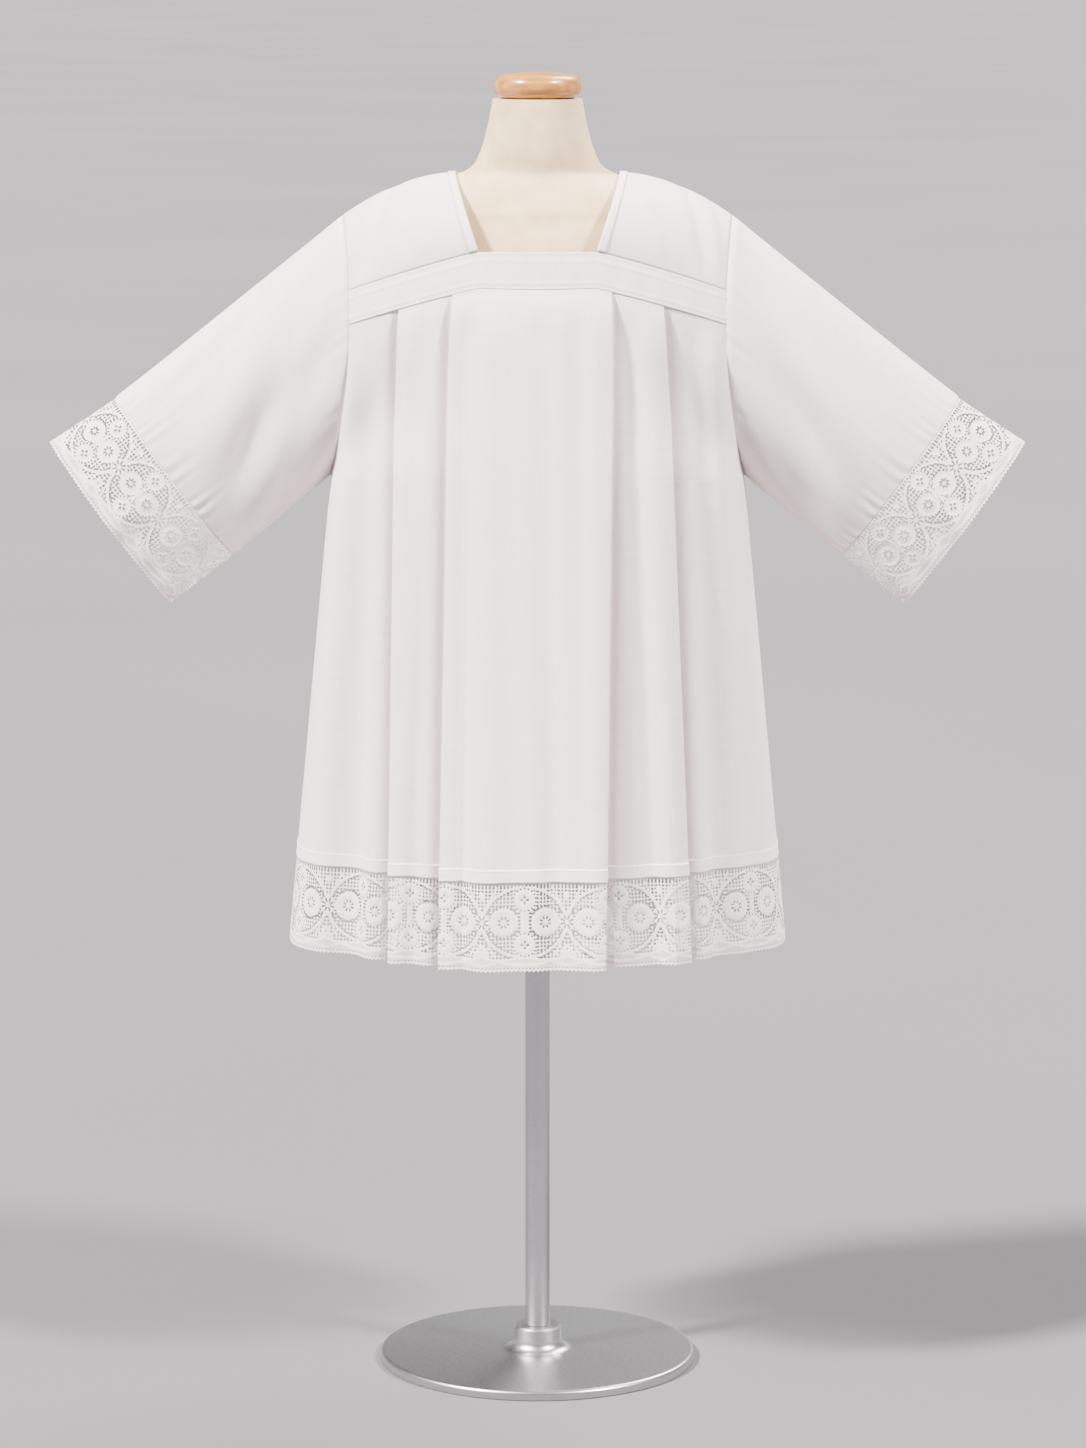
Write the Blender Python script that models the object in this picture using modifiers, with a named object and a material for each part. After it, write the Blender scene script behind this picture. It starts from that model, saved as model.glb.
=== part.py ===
"""A lace-trimmed surplice on a dress form, at its real size, in metres, with +Z up.

The front faces -Y. The origin is the centre of the stand's foot, where it meets the floor.
The garment is a square-necked yoke, a front and a back band, two pleated body panels, two
straight sleeves, and bands of lace at the hem and cuffs. Every cloth piece is an open sheet
worked out from named sizes, and a Solidify modifier gives it its wall.
"""

import math

import bpy
import bmesh
import numpy as np

# Cloth walls and the gaps between pieces.
WALL = 0.0012
SEAM_GAP = 0.0008
PLEAT_SEAM_GAP = 0.0014
ARMPIT_GAP = 0.0019
SEAT_GAP = 0.0005

# Neck opening: half-widths and heights of its corners, and the shoulder ridge between them.
NECK_RIDGE_X = 0.081
NECK_RIDGE_Z = 1.202
FRONT_CORNER = (0.057, -0.098, 1.130)
BACK_CORNER = (0.062, 0.078, 1.165)
YOKE_BULGE = 0.009
NECK_BOW = 0.004

# Armhole seam: a tall ring in a nearly vertical plane, stated by its top, foot and depth.
ARMHOLE_TOP_X = 0.191
ARMHOLE_FOOT_X = 0.204
ARMHOLE_DIP = 0.0135
ARMHOLE_Z = 1.0325
ARMHOLE_HALF_HEIGHT = 0.1275
ARMHOLE_HALF_DEPTH = 0.070

# Angles round the armhole, from the shoulder, where the bands begin and end.
FRONT_BAND_FROM = math.radians(63.2)
FRONT_BAND_TO = math.radians(78.5)
BACK_BAND_FROM = math.radians(50.0)
BACK_BAND_TO = math.radians(66.0)
BAND_HEIGHT = 0.036
BAND_LEAN = 0.005

# Sleeve: a straight tube, square to its axis at the cuff.
SLEEVE_SLOPE = math.radians(36.5)
CUFF_SEAM_CENTRE = (0.3587, 0.9025)
CUFF_END_CENTRE = (0.4238, 0.8548)
CUFF_SEAM_HALF_WIDTH = 0.0968
CUFF_END_HALF_WIDTH = 0.0986
CUFF_HALF_DEPTH = 0.042
SLEEVE_FOLD = 0.0055
SLEEVE_FOLDS_ROUND = 8
SLEEVE_FOLD_DRIFT = math.radians(40)

# Body: heights of the armpit, the lace seam and the hem, with the sections there.
ARMPIT_Z = ARMHOLE_Z - ARMHOLE_HALF_HEIGHT
LACE_SEAM_Z = 0.526
HEM_Z = 0.438
HEM_HALF_WIDTH = 0.249
FRONT_HEM_DEPTH = 0.156
BACK_HEM_DEPTH = 0.158
SECTION_POWER = 2.15
ARMHOLE_PULL = 2.0

# Each pleat: which way its folded edge faces, where that edge is at the band and the hem, and how
# far the cloth runs back under it. In front, the lace's repeats tell how much cloth is hidden.
FRONT_PLEATS = (
    # facing, x at the band, x at the hem, underlap
    (-1, -0.141, -0.150, 0.0205),
    (-1, -0.086, -0.098, 0.0245),
    (1, 0.072, 0.068, 0.035),
    (1, 0.125, 0.150, 0.047),
)
BACK_PLEATS = (
    # facing, x at the band, x at the hem, underlap
    (-1, -0.135, -0.152, 0.026),
    (-1, -0.080, -0.088, 0.026),
    (1, 0.080, 0.088, 0.026),
    (1, 0.135, 0.152, 0.026),
)
PLEAT_PITCH_BAND = 0.0019
PLEAT_PITCH_HEM = 0.0072
SIDE_FOLD = 0.006
SIDE_FOLD_HALF_WAVES = 3

# Rows of the body, as angles down the armhole and then heights down the side seam.
ARMHOLE_ROWS_DEG = (78.5, 98.0, 118.0, 140.0, 160.0, 180.0)
SIDE_ROWS_Z = (0.80, 0.66, LACE_SEAM_Z)
LACE_ROWS_Z = (LACE_SEAM_Z, 0.482, HEM_Z)

# Dress form, stand and neck cap.
FORM_NECK_TOP_Z = 1.274
FORM_BASE_Z = 0.600
FORM_SECTIONS = (
    # z, half-width, front depth, back depth, roundness of the section
    (FORM_BASE_Z, 0.118, 0.074, 0.080, 2.0),
    (0.612, 0.134, 0.088, 0.094, 2.0),
    (0.66, 0.146, 0.096, 0.104, 2.0),
    (0.72, 0.144, 0.095, 0.102, 2.0),
    (0.79, 0.130, 0.088, 0.090, 2.0),
    (0.85, 0.122, 0.085, 0.083, 2.0),
    (0.92, 0.128, 0.091, 0.082, 2.0),
    (1.00, 0.142, 0.096, 0.082, 2.0),
    (1.06, 0.154, 0.094, 0.079, 2.0),
    (1.11, 0.163, 0.086, 0.074, 2.0),
    (1.14, 0.167, 0.078, 0.069, 2.0),
    (1.16, 0.168, 0.071, 0.065, 1.95),
)
FORM_SHOULDERS = (
    # place along the ridge from the neck, front depth, back depth, roundness
    (0.75, 0.067, 0.062, 1.8),
    (0.50, 0.0625, 0.059, 1.6),
    (0.22, 0.0565, 0.0545, 1.2),
    (-0.01, 0.0545, 0.0525, 1.05),
)
FORM_NECK_SECTIONS = (
    # z, half-width, front depth, back depth, roundness
    (1.206, 0.0692, 0.0525, 0.0512, 1.5),
    (1.214, 0.0610, 0.0520, 0.051, 1.8),
    (1.228, 0.0545, 0.0495, 0.049, 2.0),
    (1.245, 0.0500, 0.045, 0.046, 2.0),
    (FORM_NECK_TOP_Z, 0.0440, 0.043, 0.043, 2.0),
)
FORM_ROUND = 40
CAP_RADIUS = 0.0435
CAP_HEIGHT = 0.0255
POLE_RADIUS = 0.0125
FOOT_RADIUS = 0.160
FOOT_THICKNESS = 0.010
FOOT_BOSS_RADIUS = 0.024
FOOT_BOSS_TOP = 0.034

# Columns and rows of the meshes.
TURN_POINTS = 4
ROUND_SLEEVE = 40
BAND_COLUMNS = 41
YOKE_COLUMNS = 10
YOKE_ROWS = 15
SLEEVE_ROWS = 9
ROW_SAMPLES = 241
SIDE_RUN_POINTS = 8
UNDERLAP_POINTS = 3
BETWEEN_POINTS = 4
MIDDLE_POINTS = 8


def smooth(value):
    """Rises from 0 to 1 with level ends, and stays there outside."""
    value = np.clip(value, 0.0, 1.0)
    return value * value * (3.0 - 2.0 * value)


def armhole(angle, side):
    """Point on the armhole seam. The angle runs from the shoulder, 0, by the front to the armpit, pi."""
    angle = np.asarray(angle, float)
    high = (1.0 + np.cos(angle)) / 2.0
    x = ARMHOLE_TOP_X * high + ARMHOLE_FOOT_X * (1.0 - high) - ARMHOLE_DIP * np.sin(angle) ** 2
    y = -ARMHOLE_HALF_DEPTH * np.sin(angle)
    z = ARMHOLE_Z + ARMHOLE_HALF_HEIGHT * np.cos(angle)
    return np.stack([side * x, y, z], axis=-1)


def neck_edge(turn, side):
    """Point on the neck opening's side edge. The turn runs from -pi/2, back, by the ridge to pi/2, front."""
    turn = np.asarray(turn, float)
    front = turn >= 0
    corner_x = np.where(front, FRONT_CORNER[0], BACK_CORNER[0])
    depth = np.where(front, -FRONT_CORNER[1], BACK_CORNER[1])
    corner_z = np.where(front, FRONT_CORNER[2], BACK_CORNER[2])
    x = corner_x + (NECK_RIDGE_X - corner_x) * np.cos(turn)
    y = -depth * np.sin(turn)
    z = corner_z + (NECK_RIDGE_Z - corner_z) * np.cos(turn)
    return np.stack([side * x, y, z], axis=-1)


def yoke_point(across, turn, side):
    """Point on the shoulder piece: a straight line from neck to armhole, with a crown between them."""
    across, turn = np.broadcast_arrays(np.asarray(across, float), np.asarray(turn, float))
    band = np.where(turn >= 0, FRONT_BAND_FROM, BACK_BAND_FROM)
    outer = armhole(turn / (math.pi / 2) * band, side)
    inner = neck_edge(turn, side)
    crown = YOKE_BULGE * 4.0 * across * (1.0 - across)
    lift = np.stack([0 * turn, -np.sin(turn) * 0.6, np.cos(turn) * 0.8 + 0.2], axis=-1)
    share = across[..., None]
    return (1.0 - share) * inner + share * outer + crown[..., None] * lift


def band_top(share, facing):
    """Upper edge of a band: share runs from -1 at the left armhole to 1 at the right one.

    Past the neck's corners it follows the shoulder pieces, and between them the neck's edge.
    """
    share = np.asarray(share, float)
    corner = np.array(FRONT_CORNER if facing < 0 else BACK_CORNER)
    turn = -facing * math.pi / 2
    side = np.where(share < 0, -1.0, 1.0)
    end_x = abs(armhole(FRONT_BAND_FROM if facing < 0 else BACK_BAND_FROM, 1)[0])
    x = np.abs(share) * end_x
    across = np.clip((x - corner[0]) / (end_x - corner[0]), 0.0, 1.0)
    outer = yoke_point(across, np.full(share.shape, turn), 1)
    inner = np.stack([x, np.full(share.shape, corner[1]), np.full(share.shape, corner[2])], axis=-1)
    inner[..., 1] += facing * NECK_BOW * (1.0 - (x / corner[0]) ** 2)
    point = np.where((x > corner[0])[..., None], outer, inner)
    point[..., 0] *= side
    return point


def band_foot(share, facing):
    """Lower edge of a band, which the pleated panel hangs from."""
    share = np.asarray(share, float)
    top, foot = (FRONT_BAND_FROM, FRONT_BAND_TO) if facing < 0 else (BACK_BAND_FROM, BACK_BAND_TO)
    at_end = armhole(-facing * foot, 1) - armhole(-facing * top, 1)
    at_end = np.where(share[..., None] < 0, at_end * (-1, 1, 1), at_end)
    at_middle = np.array([0.0, facing * BAND_LEAN, -BAND_HEIGHT])
    outward = np.abs(share)[..., None]
    return band_top(share, facing) + (1.0 - outward) * at_middle + outward * at_end


def side_half_width(z):
    """Half-width of the body at a height on its side seam, from the armpit to the hem."""
    down = (ARMPIT_Z - z) / (ARMPIT_Z - HEM_Z)
    return ARMHOLE_FOOT_X + (HEM_HALF_WIDTH - ARMHOLE_FOOT_X) * down


def body_row(edge, facing):
    """The unpleated line of one row, from the left edge to the right one, with how far down it is.

    The edge is ("armhole", angle) or ("side", z). The top row follows the band's foot, and the
    rows turn by degrees into half a superellipse that closes at the side seams.
    """
    kind, value = edge
    first = FRONT_BAND_TO if facing < 0 else BACK_BAND_TO
    if kind == "armhole":
        x_edge, y_edge, z_edge = armhole(-facing * value, 1)
        fade = smooth((z_edge - ARMPIT_Z) / (armhole(first, 1)[2] - ARMPIT_Z))
    else:
        x_edge, y_edge, z_edge = side_half_width(value), 0.0, value
        fade = 0.0
    lean = np.linspace(-math.pi / 2, math.pi / 2, ROW_SAMPLES)
    share = np.sin(lean)
    top = band_foot(share, facing)
    depth_top, z_top = abs(top[ROW_SAMPLES // 2, 1]), top[ROW_SAMPLES // 2, 2]
    z = z_edge + fade * (top[:, 2] - top[0, 2])
    down = (z_top - z[ROW_SAMPLES // 2]) / (z_top - HEM_Z)
    flat = (np.abs(top[:, 1]) - abs(top[0, 1])) / (depth_top - abs(top[0, 1]))
    round_off = np.cos(lean) ** (2.0 / SECTION_POWER)
    shape = fade * flat + (1.0 - fade) * round_off
    reach = depth_top + ((FRONT_HEM_DEPTH if facing < 0 else BACK_HEM_DEPTH) - depth_top) * down
    near_edge = (1.0 - shape) * np.abs(1.0 - shape) ** (ARMHOLE_PULL * (1.0 - fade))
    y = facing * (reach * shape + abs(y_edge) * near_edge)
    y += facing * SEAM_GAP / 2 * (1.0 - fade)
    return np.stack([x_edge * share, y, z], axis=-1), fade, down


def turn_points(centre, radius, level, sense):
    """Half a turn of a folded edge, as (along, out) pairs. Sense 1 bulges to the right, -1 to the left."""
    angles = np.linspace(-math.pi / 2, math.pi / 2, TURN_POINTS)
    return [(centre + sense * radius * math.cos(a), level + radius + radius * math.sin(a)) for a in angles]


def fold_line(length, folds, pitch):
    """The path of a pleated row as (along, out) pairs: along the plain line, and out from it.

    Each pleat runs past its folded edge, turns back under itself and comes forward again, so the
    cloth between the pleats stands two layers higher at each step towards the middle.
    """
    radius = pitch / 2
    left = sorted((s, underlap) for facing, s, underlap in folds if facing < 0)
    right = sorted((length - s, underlap) for facing, s, underlap in folds if facing > 0)
    halves = []
    for edges in (left, right):
        path = []
        start = 0.0
        for number, (edge, underlap) in enumerate(edges):
            level = 2 * number * pitch
            under = edge + underlap
            count = SIDE_RUN_POINTS if number == 0 else BETWEEN_POINTS
            path += [(s, level) for s in np.linspace(start, under - radius, count)[:-1]]
            path += turn_points(under - radius, radius, level, 1)
            back = np.linspace(under - radius, edge + radius, UNDERLAP_POINTS)[1:-1]
            path += [(s, level + pitch) for s in back]
            path += turn_points(edge + radius, radius, level + pitch, -1)
            start = edge + radius
        halves.append((path, start))
    (left_path, left_end), (right_path, right_end) = halves
    top = 2 * len(left) * pitch
    middle = [(s, top) for s in np.linspace(left_end, length - right_end, MIDDLE_POINTS)[1:-1]]
    right_path = [(length - s, out) for s, out in reversed(right_path)]
    return np.array(left_path + middle + right_path)


def pleated_row(edge, facing, pleats):
    """One row of a body panel, folded into its pleats."""
    line, fade, down = body_row(edge, facing)
    step = np.linalg.norm(np.diff(line, axis=0), axis=1)
    along = np.concatenate([[0.0], np.cumsum(step)])
    tangent = np.gradient(line, along, axis=0)
    outward = np.stack([-facing * tangent[:, 1], facing * tangent[:, 0], 0 * along], axis=-1)
    outward /= np.linalg.norm(outward, axis=1, keepdims=True)
    pitch = PLEAT_PITCH_BAND + (PLEAT_PITCH_HEM - PLEAT_PITCH_BAND) * down
    folds = []
    for way, x_band, x_hem, underlap in pleats:
        place_on_line = np.interp(x_band + (x_hem - x_band) * down, line[:, 0], along)
        folds.append((way, place_on_line, underlap))
    path = fold_line(along[-1], folds, pitch)
    first = min(s for _, s, _ in folds)
    from_edge = np.minimum(path[:, 0], along[-1] - path[:, 0])
    sink = 2 * PLEAT_PITCH_BAND * fade * smooth(from_edge / first)
    sway = SIDE_FOLD * down * np.sin(SIDE_FOLD_HALF_WAVES * math.pi * np.clip(from_edge / first, 0, 1))
    sway *= path[:, 1] < pitch / 4
    out = path[:, 1] - sink + sway
    point = np.stack([np.interp(path[:, 0], along, line[:, k]) for k in range(3)], axis=-1)
    normal = np.stack([np.interp(path[:, 0], along, outward[:, k]) for k in range(3)], axis=-1)
    normal /= np.linalg.norm(normal, axis=1, keepdims=True)
    return point + normal * out[:, None]


def sleeve_ring(centre, half_width, angle, side):
    """Point on a ring of the sleeve's far end, square to its axis."""
    up = np.array([math.sin(SLEEVE_SLOPE), 0.0, math.cos(SLEEVE_SLOPE)])
    middle = np.array([centre[0], 0.0, centre[1]])
    angle = np.asarray(angle, float)[..., None]
    depth = np.array([0.0, -CUFF_HALF_DEPTH, 0.0])
    return (middle + half_width * np.cos(angle) * up + np.sin(angle) * depth) * (side, 1, 1)


def sleeve_point(along, angle, side):
    """Point on the sleeve: straight from the armhole to the cuff seam, with folds that drift downwards."""
    near = armhole(angle, side)
    far = sleeve_ring(CUFF_SEAM_CENTRE, CUFF_SEAM_HALF_WIDTH, angle, side)
    middle = (near + far) / 2
    centre = middle.mean(axis=0, keepdims=True)
    outward = middle - centre
    outward /= np.linalg.norm(outward, axis=1, keepdims=True)
    from_top = np.minimum(angle, 2 * math.pi - angle)
    wave = np.cos(SLEEVE_FOLDS_ROUND * (from_top - SLEEVE_FOLD_DRIFT * along))
    swell = SLEEVE_FOLD * math.sin(math.pi * along) * np.sin(angle) ** 2 * wave
    return near + along * (far - near) + outward * swell[:, None]


def sleeve_rows(side):
    """Rows of the sleeve from the armhole to the cuff seam, kept clear of the body at the armpit."""
    angle = np.linspace(0, 2 * math.pi, ROUND_SLEEVE, endpoint=False)
    reach = np.linalg.norm(
        sleeve_ring(CUFF_SEAM_CENTRE, CUFF_SEAM_HALF_WIDTH, angle, side) - armhole(angle, side), axis=1
    )
    inset = SEAM_GAP + ARMPIT_GAP * ((1 - np.cos(angle)) / 2) ** 2
    rows = []
    for share in np.linspace(0, 1, SLEEVE_ROWS):
        row = sleeve_point(share, angle, side)
        ruling = sleeve_point(1.0, angle, side) - armhole(angle, side)
        row += ruling * (inset / reach * (1 - share) ** 4)[:, None]
        rows.append(row)
    return np.array(rows)


def cuff_rows(side):
    """Rows of the cuff's lace, from just past the seam to the sleeve's end."""
    angle = np.linspace(0, 2 * math.pi, ROUND_SLEEVE, endpoint=False)
    seam = sleeve_ring(CUFF_SEAM_CENTRE, CUFF_SEAM_HALF_WIDTH, angle, side)
    end = sleeve_ring(CUFF_END_CENTRE, CUFF_END_HALF_WIDTH, angle, side)
    length = np.linalg.norm(end - seam, axis=1).mean()
    return np.array([seam + (end - seam) * share for share in (SEAM_GAP / length, 0.5, 1.0)])


def material(name, colour, roughness, metallic=0.0):
    """A Principled BSDF in the piece's own colour."""
    made = bpy.data.materials.new(name)
    made.use_nodes = True
    shader = made.node_tree.nodes["Principled BSDF"]
    shader.inputs["Base Color"].default_value = (*colour, 1.0)
    shader.inputs["Roughness"].default_value = roughness
    shader.inputs["Metallic"].default_value = metallic
    return made


def grid_mesh(name, rows, closed=False, capped=False):
    """A mesh of quads through rows of points. Closed joins each row's ends, and capped fills the end rows."""
    count, across = rows.shape[:2]
    step = across if closed else across - 1
    j, i = np.mgrid[0 : count - 1, 0:step]
    after = (i + 1) % across
    corners = [j * across + i, j * across + after, (j + 1) * across + after, (j + 1) * across + i]
    faces = np.stack(corners, axis=-1).reshape(-1, 4).tolist()
    if capped:
        faces.append(list(range(across))[::-1])
        faces.append([(count - 1) * across + k for k in range(across)])
    mesh = bpy.data.meshes.new(name)
    mesh.from_pydata(rows.reshape(-1, 3).tolist(), [], faces)
    mesh.update()
    return mesh


def place(name, mesh, finish, collection):
    """An object for one piece, with its material and smooth shading."""
    piece = bpy.data.objects.new(name, mesh)
    collection.objects.link(piece)
    mesh.materials.append(finish)
    mesh.shade_smooth()
    mesh.set_sharp_from_angle(angle=math.radians(40))
    return piece


def cloth(name, rows, finish, collection, closed=False):
    """A sheet of cloth: an open surface with a wall added evenly on both of its sides."""
    piece = place(name, grid_mesh(name, rows, closed), finish, collection)
    wall = piece.modifiers.new("wall", "SOLIDIFY")
    wall.thickness = WALL
    wall.offset = 0.0
    wall.use_even_offset = True
    return piece


def yoke_rows(side):
    """Rows of a shoulder piece from the back band over the shoulder to the front one."""
    margin = SEAM_GAP / (ARMHOLE_TOP_X - NECK_RIDGE_X)
    turns = np.linspace(-math.pi / 2, math.pi / 2, YOKE_ROWS)
    turns[0] += margin
    turns[-1] -= margin
    across = np.linspace(0, 1, YOKE_COLUMNS)
    across[-1] -= margin
    return yoke_point(across[None, :], turns[:, None], side)


def band_rows(facing):
    """Rows of a band from its upper edge to the seam that the pleats hang from."""
    end = 1 - SEAM_GAP / ARMHOLE_TOP_X
    share = np.sin(np.linspace(-math.pi / 2, math.pi / 2, BAND_COLUMNS)) * end
    top, foot = band_top(share, facing), band_foot(share, facing)
    return np.array([top, (top + foot) / 2, foot])


def panel_edges(facing):
    """The rows of a body panel as edges for body_row, from the band to the lace seam."""
    first = FRONT_BAND_TO if facing < 0 else BACK_BAND_TO
    angles = [math.radians(a) for a in ARMHOLE_ROWS_DEG if math.radians(a) > first + 0.05]
    return [("armhole", a) for a in [first, *angles]] + [("side", z) for z in SIDE_ROWS_Z]


def panel_rows(facing, pleats, edges):
    """Rows of pleated cloth, pulled clear of the seam above them."""
    rows = np.array([pleated_row(edge, facing, pleats) for edge in edges])
    rows[0, :, 2] -= PLEAT_SEAM_GAP
    return rows


def inside_armhole(rows):
    """Draws the ends of the upper rows in from the armhole seam by the width of the gap there."""
    drawn = rows.copy()
    for row in drawn:
        for end, inner in ((0, 1), (-1, -2)):
            way = row[inner] - row[end]
            row[end] += way / np.linalg.norm(way) * SEAM_GAP / 2
    return drawn


def superellipse(section, count):
    """A closed horizontal section whose front and back depths differ."""
    z, half_width, front, back, roundness = section
    angle = np.linspace(0, 2 * math.pi, count, endpoint=False)
    depth = np.where(np.sin(angle) < 0, front, back)
    bend = 2.0 / roundness
    x = half_width * np.sign(np.cos(angle)) * np.abs(np.cos(angle)) ** bend
    y = depth * np.sign(np.sin(angle)) * np.abs(np.sin(angle)) ** bend
    return np.stack([x, y, np.full(count, z)], axis=-1)


def form_rows():
    """Sections of the dress form, whose shoulders lie just under the ridge of the yoke."""
    sections = list(FORM_SECTIONS)
    for place_on_ridge, front, back, roundness in FORM_SHOULDERS:
        x, _, z = yoke_point(place_on_ridge, 0.0, 1)
        sections.append((z - WALL / 2 - SEAT_GAP, x, front, back, roundness))
    sections += FORM_NECK_SECTIONS
    return np.array([superellipse(section, FORM_ROUND) for section in sections])


def turned(name, profile, steps, finish, collection):
    """A turned piece: a profile of (radius, z) pairs, top to bottom, carried round the Z axis."""
    mesh = bpy.data.meshes.new(name)
    points = [(radius, 0.0, z) for radius, z in profile]
    mesh.from_pydata(points, [(k, k + 1) for k in range(len(points) - 1)], [])
    piece = bpy.data.objects.new(name, mesh)
    collection.objects.link(piece)
    mesh.materials.append(finish)
    screw = piece.modifiers.new("turn", "SCREW")
    screw.steps = steps
    screw.render_steps = steps
    screw.use_merge_vertices = True
    screw.merge_threshold = 0.00005
    screw.use_smooth_shade = True
    return piece


def arc(centre_r, centre_z, radius, start, end, count):
    """Points of an arc in a profile. Angles are in degrees from straight out, and count from start to end."""
    angles = np.radians(np.linspace(start, end, count))
    return [(centre_r + radius * math.cos(a), centre_z + radius * math.sin(a)) for a in angles]


def cap_profile():
    """The neck cap: a flat underside, a full round edge and a slightly domed top."""
    foot = FORM_NECK_TOP_Z + SEAT_GAP
    edge = 0.0105
    low = arc(CAP_RADIUS - edge, foot + edge, edge, 0, -70, 4)
    high = arc(CAP_RADIUS - edge, foot + CAP_HEIGHT - 0.003 - edge, edge, 80, 0, 5)
    dome = [(0.0, foot + CAP_HEIGHT), (0.018, foot + CAP_HEIGHT - 0.0006)]
    return dome + high + low + [(CAP_RADIUS - edge, foot), (0.0, foot)]


def foot_profile():
    """The stand's foot: a flat disc with a rounded rim, swept up to a boss that holds the pole."""
    rim = 0.004
    boss = [(0.0, FOOT_BOSS_TOP), (FOOT_BOSS_RADIUS - 0.002, FOOT_BOSS_TOP), (FOOT_BOSS_RADIUS, FOOT_BOSS_TOP - 0.002)]
    sweep = arc(FOOT_BOSS_RADIUS + 0.012, FOOT_THICKNESS + 0.012, 0.012, 180, 270, 4)
    edge = arc(FOOT_RADIUS - rim, FOOT_THICKNESS - rim, rim, 90, 0, 4)
    return boss + sweep + edge + [(FOOT_RADIUS, 0.001), (FOOT_RADIUS - 0.001, 0.0), (0.0, 0.0)]


def pole(name, low, high, finish, collection):
    """The upright: a plain round bar from the foot's boss to the underside of the form."""
    body = bmesh.new()
    bmesh.ops.create_cone(
        body, cap_ends=True, segments=24, radius1=POLE_RADIUS, radius2=POLE_RADIUS, depth=high - low
    )
    mesh = bpy.data.meshes.new(name)
    body.to_mesh(mesh)
    body.free()
    piece = place(name, mesh, finish, collection)
    piece.location = (0.0, 0.0, (low + high) / 2)
    return piece


def main():
    for old in list(bpy.data.objects):
        bpy.data.objects.remove(old)
    parts = bpy.data.collections.new("surplice_on_dress_form")
    bpy.context.scene.collection.children.link(parts)

    cotton = material("cotton_cloth", (0.87, 0.85, 0.86), 0.85)
    lace = material("cotton_lace", (0.85, 0.82, 0.83), 0.9)
    linen = material("form_cover", (0.68, 0.55, 0.40), 0.9)
    wood = material("varnished_beech", (0.62, 0.33, 0.11), 0.35)
    steel = material("brushed_steel", (0.55, 0.55, 0.56), 0.35, metallic=1.0)

    for side, hand in ((-1, "left"), (1, "right")):
        cloth(f"yoke_{hand}", yoke_rows(side), cotton, parts)
        cloth(f"sleeve_{hand}", sleeve_rows(side), cotton, parts, closed=True)
        cloth(f"cuff_lace_{hand}", cuff_rows(side), lace, parts, closed=True)

    for facing, where, pleats in ((-1, "front", FRONT_PLEATS), (1, "back", BACK_PLEATS)):
        cloth(f"band_{where}", band_rows(facing), cotton, parts)
        panel = inside_armhole(panel_rows(facing, pleats, panel_edges(facing)))
        cloth(f"body_{where}", panel, cotton, parts)
        hem = panel_rows(facing, pleats, [("side", z) for z in LACE_ROWS_Z])
        cloth(f"hem_lace_{where}", hem, lace, parts)

    place("form_torso", grid_mesh("form_torso", form_rows(), closed=True, capped=True), linen, parts)
    turned("form_cap", cap_profile(), 40, wood, parts)
    pole("form_pole", FOOT_BOSS_TOP + SEAT_GAP, FORM_BASE_Z - SEAT_GAP, steel, parts)
    turned("form_foot", foot_profile(), 48, steel, parts)


main()
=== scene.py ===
# %% [markdown]
# A white surplice, the loose linen-white vestment of a choir, shown on a dress form. It has a
# square neck, a banded yoke with two pleats a side, wide straight sleeves, and deep machine-made
# lace at the hem and cuffs. The imported model gives the plain solids. This lesson dresses them:
# each piece of cloth becomes a fine sheet with its folds, its turned hems and its stitches, and
# the lace becomes a sheet with real holes.

# %% The imported model
import math

import bpy
import numpy as np
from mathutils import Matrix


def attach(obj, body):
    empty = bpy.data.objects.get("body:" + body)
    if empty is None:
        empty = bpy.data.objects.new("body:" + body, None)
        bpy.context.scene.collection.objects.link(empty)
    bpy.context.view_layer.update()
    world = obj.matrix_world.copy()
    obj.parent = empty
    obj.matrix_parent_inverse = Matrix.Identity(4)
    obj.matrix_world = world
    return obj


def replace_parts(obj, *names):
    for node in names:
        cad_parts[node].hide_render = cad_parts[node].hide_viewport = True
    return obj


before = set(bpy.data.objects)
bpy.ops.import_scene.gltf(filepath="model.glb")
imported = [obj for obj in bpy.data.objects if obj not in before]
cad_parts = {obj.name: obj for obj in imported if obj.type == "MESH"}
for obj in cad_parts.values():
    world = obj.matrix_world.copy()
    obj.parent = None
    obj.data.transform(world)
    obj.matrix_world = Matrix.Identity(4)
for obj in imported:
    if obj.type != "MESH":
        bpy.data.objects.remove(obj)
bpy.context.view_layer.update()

# %% [markdown]
# Every surface here is a function of two parameters, worked out as a whole grid of points and
# then handed to Blender at once. A grid keeps its own flat coordinates in a UV map, in metres of
# real cloth, so that a weave drawn on it has threads of the right size everywhere.

# %% Grids of points made into pieces
TAU = 2 * math.pi


def smooth(value):
    """Rises from 0 to 1 with level ends (three squares less two cubes), and stays there outside."""
    value = np.clip(value, 0.0, 1.0)
    return value * value * (3.0 - 2.0 * value)


def unit(vectors):
    """Vectors divided by their own lengths."""
    return vectors / np.maximum(np.linalg.norm(vectors, axis=-1, keepdims=True), 1e-12)


def blend(a, b, share):
    """a where share is 0 and b where it is 1."""
    return a + (b - a) * share


def bell(distance, half_width):
    """1 in the middle and 0 far off: e to the minus square of the distance in half-widths."""
    return np.exp(-((distance / half_width) ** 2))


def grid_normals(points, closed=False):
    """Unit normals of a grid: the cross product of its slopes across and down."""
    if closed:
        wrapped = np.concatenate([points[:, -1:], points, points[:, :1]], axis=1)
        across = (wrapped[:, 2:] - wrapped[:, :-2]) / 2
    else:
        across = np.gradient(points, axis=1)
    down = np.gradient(points, axis=0)
    return unit(np.cross(down, across))


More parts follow.
